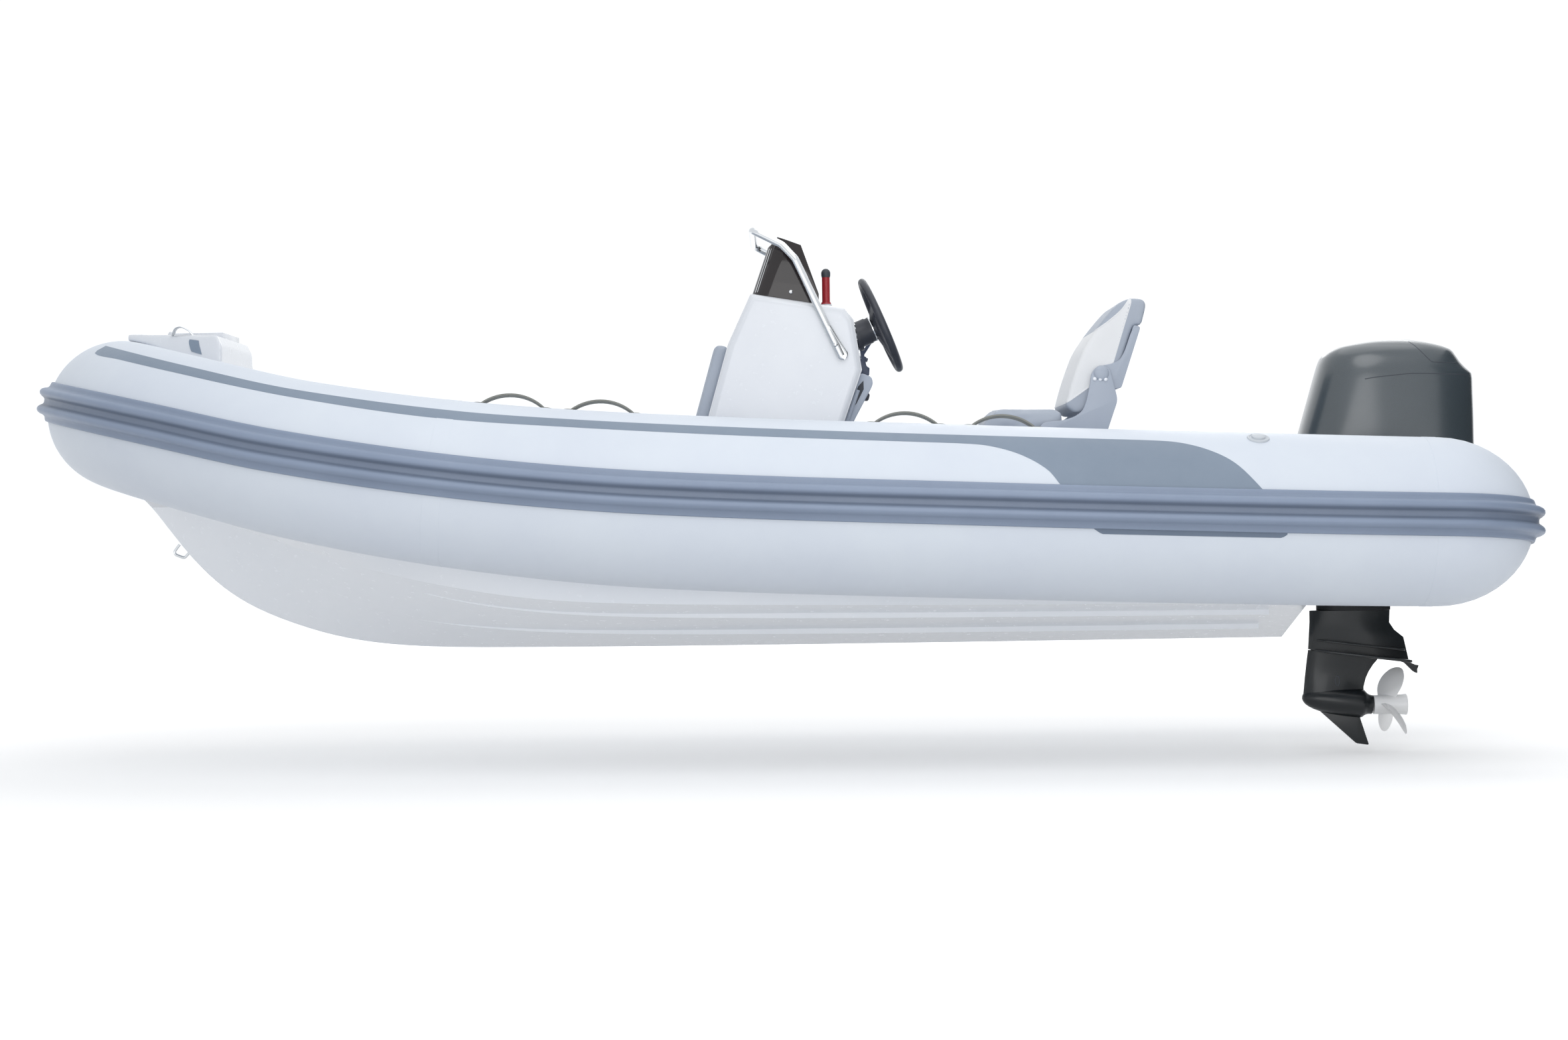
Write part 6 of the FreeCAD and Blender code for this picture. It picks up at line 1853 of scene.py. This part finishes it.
@dataclass
class Propeller:
    """A hollow flared hub and three blades. Sizes in metres.

    Attributes:
        hub_x: Where the hub starts.
        axis_z: Height of its axis.
        radius: Reach of a blade.
        blades: How many blades it has.
        blade_x: How far aft of the hub's start a blade stands.
        chords: Width of a blade, for shares of its reach.
        rakes: How far ahead a blade leans, for shares of its reach.
        hub_profile: The hub, as (along, radius).
        core_profile: The shaft and its nut inside, as (along, radius).
    """

    hub_x: float = -2.133
    axis_z: float = -0.441
    radius: float = 0.13
    blades: int = 3
    blade_x: float = 0.0534
    chords: Table = ((0.1, 0.05), (0.3, 0.084), (0.5, 0.116), (0.7, 0.126), (0.85, 0.108),
                     (0.94, 0.078), (0.985, 0.042), (1.0, 0.012))
    rakes: Table = ((0.1, 0.006), (0.3, 0.002), (0.5, -0.006), (0.72, -0.017), (0.9, -0.028),
                    (1.0, -0.036))
    hub_profile: Table = (
        (0.0, 0.012), (0.0, 0.0315), (0.0015, 0.033), (0.06, 0.0338), (0.1, 0.0352),
        (0.114, 0.0368), (0.116, 0.0362), (0.115, 0.0325), (0.09, 0.03), (0.06, 0.028),
        (0.06, 0.012))
    core_profile: Table = ((0.03, 0.013), (0.086, 0.013), (0.094, 0.01), (0.096, 0.0))

    @property
    def tail(self) -> Vector:
        """Where the torpedo ends, just inside the hub."""
        return Vector((self.hub_x + 0.003, 0, self.axis_z))

    def blade(self, index: int) -> Obj:
        """Makes one twisted blade.

        Args:
            index: Its number, 0 for the upright one.

        Returns:
            The new mesh object.
        """
        rings = []
        # the sections stand closer where the tip is round
        for share in [*spread(0.1, 0.9, 12), 0.93, 0.955, 0.975, 0.99, 1.0]:
            reach = self.radius * share
            pitch = math.atan2(0.4 * self.radius, reach + 0.014)
            half = smooth_value(self.chords, share) / 2
            along = Vector((-math.sin(pitch), math.cos(pitch), 0)) * half
            thick = Vector((math.cos(pitch), math.sin(pitch), 0)) * (0.001 + 0.0032 * (1 - share))
            centre = Vector((self.hub_x - self.blade_x + smooth_value(self.rakes, share), 0,
                             self.axis_z + reach))
            rings.append([centre + along * math.cos(turn) + thick * math.sin(turn)
                          for turn in spread(0.0, 2 * math.pi, 24)[:-1]])
        blade = choose(loft(rings, capped=True))
        bpy.ops.transform.rotate(value=2 * math.pi / self.blades * index, orient_axis="X",
                                 center_override=(0, 0, self.axis_z))
        return settle(blade)

    def build(self) -> None:
        """Makes the propeller."""
        start, aft = Vector((self.hub_x, 0, self.axis_z)), Vector((-1, 0, 0))
        parts = [lathe(self.hub_profile, start, aft, around=48),
                 lathe(self.core_profile, start, aft, around=24)]
        parts += [self.blade(index) for index in range(self.blades)]
        propeller = joined(parts)
        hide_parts("propeller")
        finish_piece(propeller, "propeller_skin", PROP_METAL, "propeller")


@dataclass
class MotorDetails:
    """Lines pressed into the cowl and the water inlets of the lower unit. Sizes in metres.

    Attributes:
        inset_line: Edge of the cowl's inset rear top, as (x, z).
        crease_line: The crease along its side, as (x, z).
        inlet_place: Middle of an inlet, as (x, z).
        inlet_size: Half its length and half its height.
    """

    inset_line: Table = ((-2.2495, 0.8185), (-2.264, 0.803), (-2.276, 0.788), (-2.299, 0.761),
                         (-2.31, 0.7495), (-2.321, 0.7435), (-2.36, 0.742),
                         (-2.407, 0.741))
    crease_line: Table = ((-2.084, 0.688), (-2.13, 0.6945), (-2.179, 0.699),
                          (-2.246, 0.7045), (-2.34, 0.7025), (-2.439, 0.7))
    inlet_place: Pair = (-2.005, -0.355)
    inlet_size: Pair = (0.0075, 0.0175)

    def build(self, cowl: Obj, case: Obj) -> None:
        """Makes them.

        Args:
            cowl: The skin of the cowl.
            case: The skin of the lower unit.
        """
        seams = [drawn_line(cowl, line, side, width=0.0035, lift=0.0004)
                 for line in (self.inset_line, self.crease_line) for side in (1, -1)]
        finish_piece(joined(seams), "cowl_lines", SEAL_AND_PAINTED_SHADE, "motor", angle=60.0)
        oval = [(self.inlet_place[0] + self.inlet_size[0] * math.cos(turn),
                 self.inlet_place[1] + self.inlet_size[1] * math.sin(turn))
                for turn in spread(0.0, 2 * math.pi, 20)]
        inlets = both_sides(lambda side: drawn_line(case, oval, side, width=0.004, lift=0.0008,
                                                    steps=2))
        finish_piece(inlets, "water_inlets", SEAL_AND_PAINTED_SHADE, "motor", angle=60.0)


SOFTENED = (
    Softened("bow_step", HULL_BODY, GELCOAT, "gelcoat", 9.0, grid=5.0),
    Softened("bow_lid", "bow_lid", GELCOAT, "gelcoat", 3.0),
    Softened("console_shell", HULL_BODY, GELCOAT, "gelcoat", 10.0),
    Softened("front_seat_base", HULL_BODY, GELCOAT, "gelcoat", 12.0),
    Softened("helm_seat_base", HULL_BODY, GREY_PANEL, "grey_panel", 14.0),
    Softened("switch_box", HULL_BODY, NAVY_PLASTIC, "black_plastic", 2.5),
    Softened("steering_wheel", "steering_wheel", BLACK_PLASTIC, "black_plastic", 2.0),
    Softened("helm_boss", HULL_BODY, BLACK_PLASTIC, "black_plastic", 2.5),
    Softened("clamp_bracket", HULL_BODY, MOTOR_CASTING, "motor_casting", 3.0),
    Softened("swivel_bracket", "swivel", MOTOR_CASTING, "motor_casting", 3.0),
    Softened("midsection", "motor", MOTOR_CASTING, "motor_casting", 2.0),
    Softened("transom", HULL_BODY, GELCOAT, "gelcoat", 6.0),
    Softened("windscreen", HULL_BODY, SMOKED, "smoked_screen", 1.2),
)


# The studio


@dataclass(frozen=True)
class Lamp:
    """A round soft lamp.

    Attributes:
        name: What it is for.
        place: Where it hangs, in metres.
        size: Its width in metres.
        power: Its power in watts.
        aim: The point that it faces.
    """

    name: str
    place: Spot
    size: float
    power: float
    aim: Spot = (0.0, 0.0, 0.3)

    def build(self) -> None:
        """Hangs it."""
        data = bpy.data.lights.new(self.name, "AREA")
        data.shape = "DISK"
        data.size = self.size
        data.energy = self.power
        lamp = bpy.data.objects.new(self.name, data)
        bpy.context.scene.collection.objects.link(lamp)
        lamp.location = self.place
        line = Vector(self.aim) - Vector(self.place)
        lamp.rotation_euler = line.to_track_quat("-Z", "Y").to_euler()


@dataclass
class Studio:
    """Camera, floor and light. Sizes in metres.

    Attributes:
        eye: The camera's place, where the photograph was taken from.
        roll: The camera's small roll, as the sideways part of its up direction.
        focal_px: The camera's focal length, in pixels of the photograph.
        photo_px: The photograph's width.
        sensor_mm: The camera's sensor width in millimetres.
        floor_z: Height of the floor, under the skeg.
        floor_size: Its width.
        glow: Light of its own that the seen floor has near the boat and far away.
        glow_range: Where that starts and stops to change.
        flag_place: Middle of the black flag.
        flag_size: Its height and width.
        fill: Strength of the surround as light.
        backdrop: Its strength where it is seen.
        lamps: High on the port side, overhead, high on the far side and low in front.
    """

    eye: Spot = (-0.087, 10.0, 0.229)
    roll: float = 0.01255
    focal_px: float = 4320.0
    photo_px: float = 2363.0
    sensor_mm: float = 36.0
    floor_z: float = -0.6
    floor_size: float = 120.0
    glow: Pair = (0.3, 0.8)
    glow_range: Pair = (2.0, 7.0)
    flag_place: Spot = (-4.4, 0.9, 1.2)
    flag_size: Pair = (3.6, 6.0)
    fill: float = 0.7
    backdrop: float = 1.1
    lamps: Sequence[Lamp] = (Lamp("key lamp", (-0.6, 5.5, 6.0), 5.0, 120.0),
                             Lamp("top lamp", (-1.0, -1.0, 6.5), 6.0, 60.0),
                             Lamp("far side lamp", (-2.0, -6.0, 4.0), 4.0, 60.0),
                             Lamp("low front lamp", (-0.5, 7.0, -0.2), 5.0, 110.0, (0, 0, -0.2)))

    @staticmethod
    def seen_directly(material: Owner) -> Socket:
        """Tells apart what is looked at from what only gives light.

        Args:
            material: The material or world that gets the nodes.

        Returns:
            A socket that is 1 for what the eye, a mirror or a glass sees.
        """
        path = add_node(material, "LightPath")
        first = add_node(material, "Math", {"operation": "MAXIMUM"},
                         {0: path.outputs["Is Camera Ray"], 1: path.outputs["Is Glossy Ray"]})
        return add_node(material, "Math", {"operation": "MAXIMUM"},
                        {0: first.outputs[0],
                         1: path.outputs["Is Transmission Ray"]}).outputs[0]

    def camera(self) -> None:
        """Sets up the camera, level with the middle of the boat on its port side."""
        data = bpy.data.cameras.new("camera")
        data.sensor_width = self.sensor_mm
        data.sensor_fit = "HORIZONTAL"
        data.lens = self.focal_px / self.photo_px * self.sensor_mm
        data.clip_end = 200.0
        camera = bpy.data.objects.new("camera", data)
        bpy.context.scene.collection.objects.link(camera)
        right = Vector((-1, 0, -self.roll)).normalized()
        up = Vector((-self.roll, 0, 1)).normalized()
        turn = Matrix((right, up, right.cross(up))).transposed()
        camera.matrix_world = Matrix.Translation(self.eye) @ turn.to_4x4()
        bpy.context.scene.camera = camera

    def floor(self) -> None:
        """Lays the plain pale floor."""
        bpy.ops.object.select_all(action="DESELECT")
        bpy.ops.mesh.primitive_plane_add(size=self.floor_size, location=(0, 0, self.floor_z))
        floor = bpy.context.active_object
        floor.name = "floor"
        material = bpy.data.materials.new("pale studio floor")
        material.use_nodes = True
        tree = material.node_tree
        tree.nodes.remove(tree.nodes["Principled BSDF"])
        paint = add_node(material, "BsdfDiffuse", {"Color": (0.8, 0.8, 0.8, 1.0)})
        # the lit backdrop: brighter far away, so that no horizon shows
        place = add_node(material, "TexCoord").outputs["Object"]
        away = add_node(material, "VectorMath", {"operation": "LENGTH"},
                        {0: place}).outputs["Value"]
        level = add_node(material, "MapRange", {"interpolation_type": "SMOOTHSTEP",
                                                "From Min": self.glow_range[0],
                                                "From Max": self.glow_range[1],
                                                "To Min": self.glow[0], "To Max": self.glow[1]},
                         {"Value": away}).outputs["Result"]
        shown = add_node(material, "Math", {"operation": "MULTIPLY"},
                         {0: self.seen_directly(material), 1: level}).outputs[0]
        glow = add_node(material, "Emission", {"Color": (1.0, 1.0, 1.0, 1.0)}, {"Strength": shown})
        both = add_node(material, "AddShader", links={0: paint.outputs[0], 1: glow.outputs[0]})
        tree.links.new(both.outputs[0], tree.nodes["Material Output"].inputs["Surface"])
        floor.data.materials.append(material)

    def flag(self) -> None:
        """Stands a black flag astern, seen only in reflections: it shades the cowl's after side."""
        bpy.ops.object.select_all(action="DESELECT")
        bpy.ops.mesh.primitive_plane_add(size=1.0, location=self.flag_place)
        flag = bpy.context.active_object
        flag.name = "black_flag"
        flag.scale = (*self.flag_size, 1.0)
        flag.rotation_euler = (0.0, math.pi / 2, 0.0)
        settle(flag)
        material = bpy.data.materials.new("black flag cloth")
        material.use_nodes = True
        shader = material.node_tree.nodes["Principled BSDF"]
        shader.inputs["Base Color"].default_value = (0.01, 0.01, 0.01, 1.0)
        flag.data.materials.append(material)
        flag.visible_camera = flag.visible_diffuse = flag.visible_shadow = False

    def world(self) -> None:
        """Makes an even pale surround, white where it is seen."""
        world = bpy.data.worlds.new("pale surround")
        world.use_nodes = True
        bpy.context.scene.world = world
        background = world.node_tree.nodes["Background"]
        background.inputs["Color"].default_value = (0.96, 0.98, 1.0, 1.0)
        strength = add_node(world, "MapRange", {"To Min": self.fill, "To Max": self.backdrop},
                            {"Value": self.seen_directly(world)})
        world.node_tree.links.new(strength.outputs["Result"], background.inputs["Strength"])
        bpy.context.scene.view_settings.view_transform = "Standard"

    def build(self) -> None:
        """Sets up the studio."""
        self.camera()
        self.floor()
        for lamp in self.lamps:
            lamp.build()
        self.flag()
        self.world()


def main() -> None:
    """Builds the scene in order."""
    logging.basicConfig(level=logging.INFO, format="%(message)s")
    for node, finish in NODE_FINISH.items():
        wear(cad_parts[node], finish)
    collar = Collar()
    collar.build()
    Tapes(collar).build()
    RubRail(collar).build()
    Valves(collar).build()
    skins = {part.node: part.build() for part in SOFTENED}
    BowFittings().build(skins["bow_step"])
    for cushion in (Cushion("front_pad", swell=0.008), Cushion("front_seat_cushion"),
                    Cushion("helm_cushion")):
        cushion.build()
    seat = SeatBack()
    seat.build_shell()
    seat.build_arms()
    SeatDetails().build(seat.build_pad())
    ConsoleDoor().build()
    ConsoleDetails().build(skins["windscreen"])
    propeller = Propeller()
    propeller.build()
    case = LowerUnit().build(propeller.tail)
    MotorDetails().build(Cowl().build(), case)
    Studio().build()


if __name__ == "__main__":
    main()
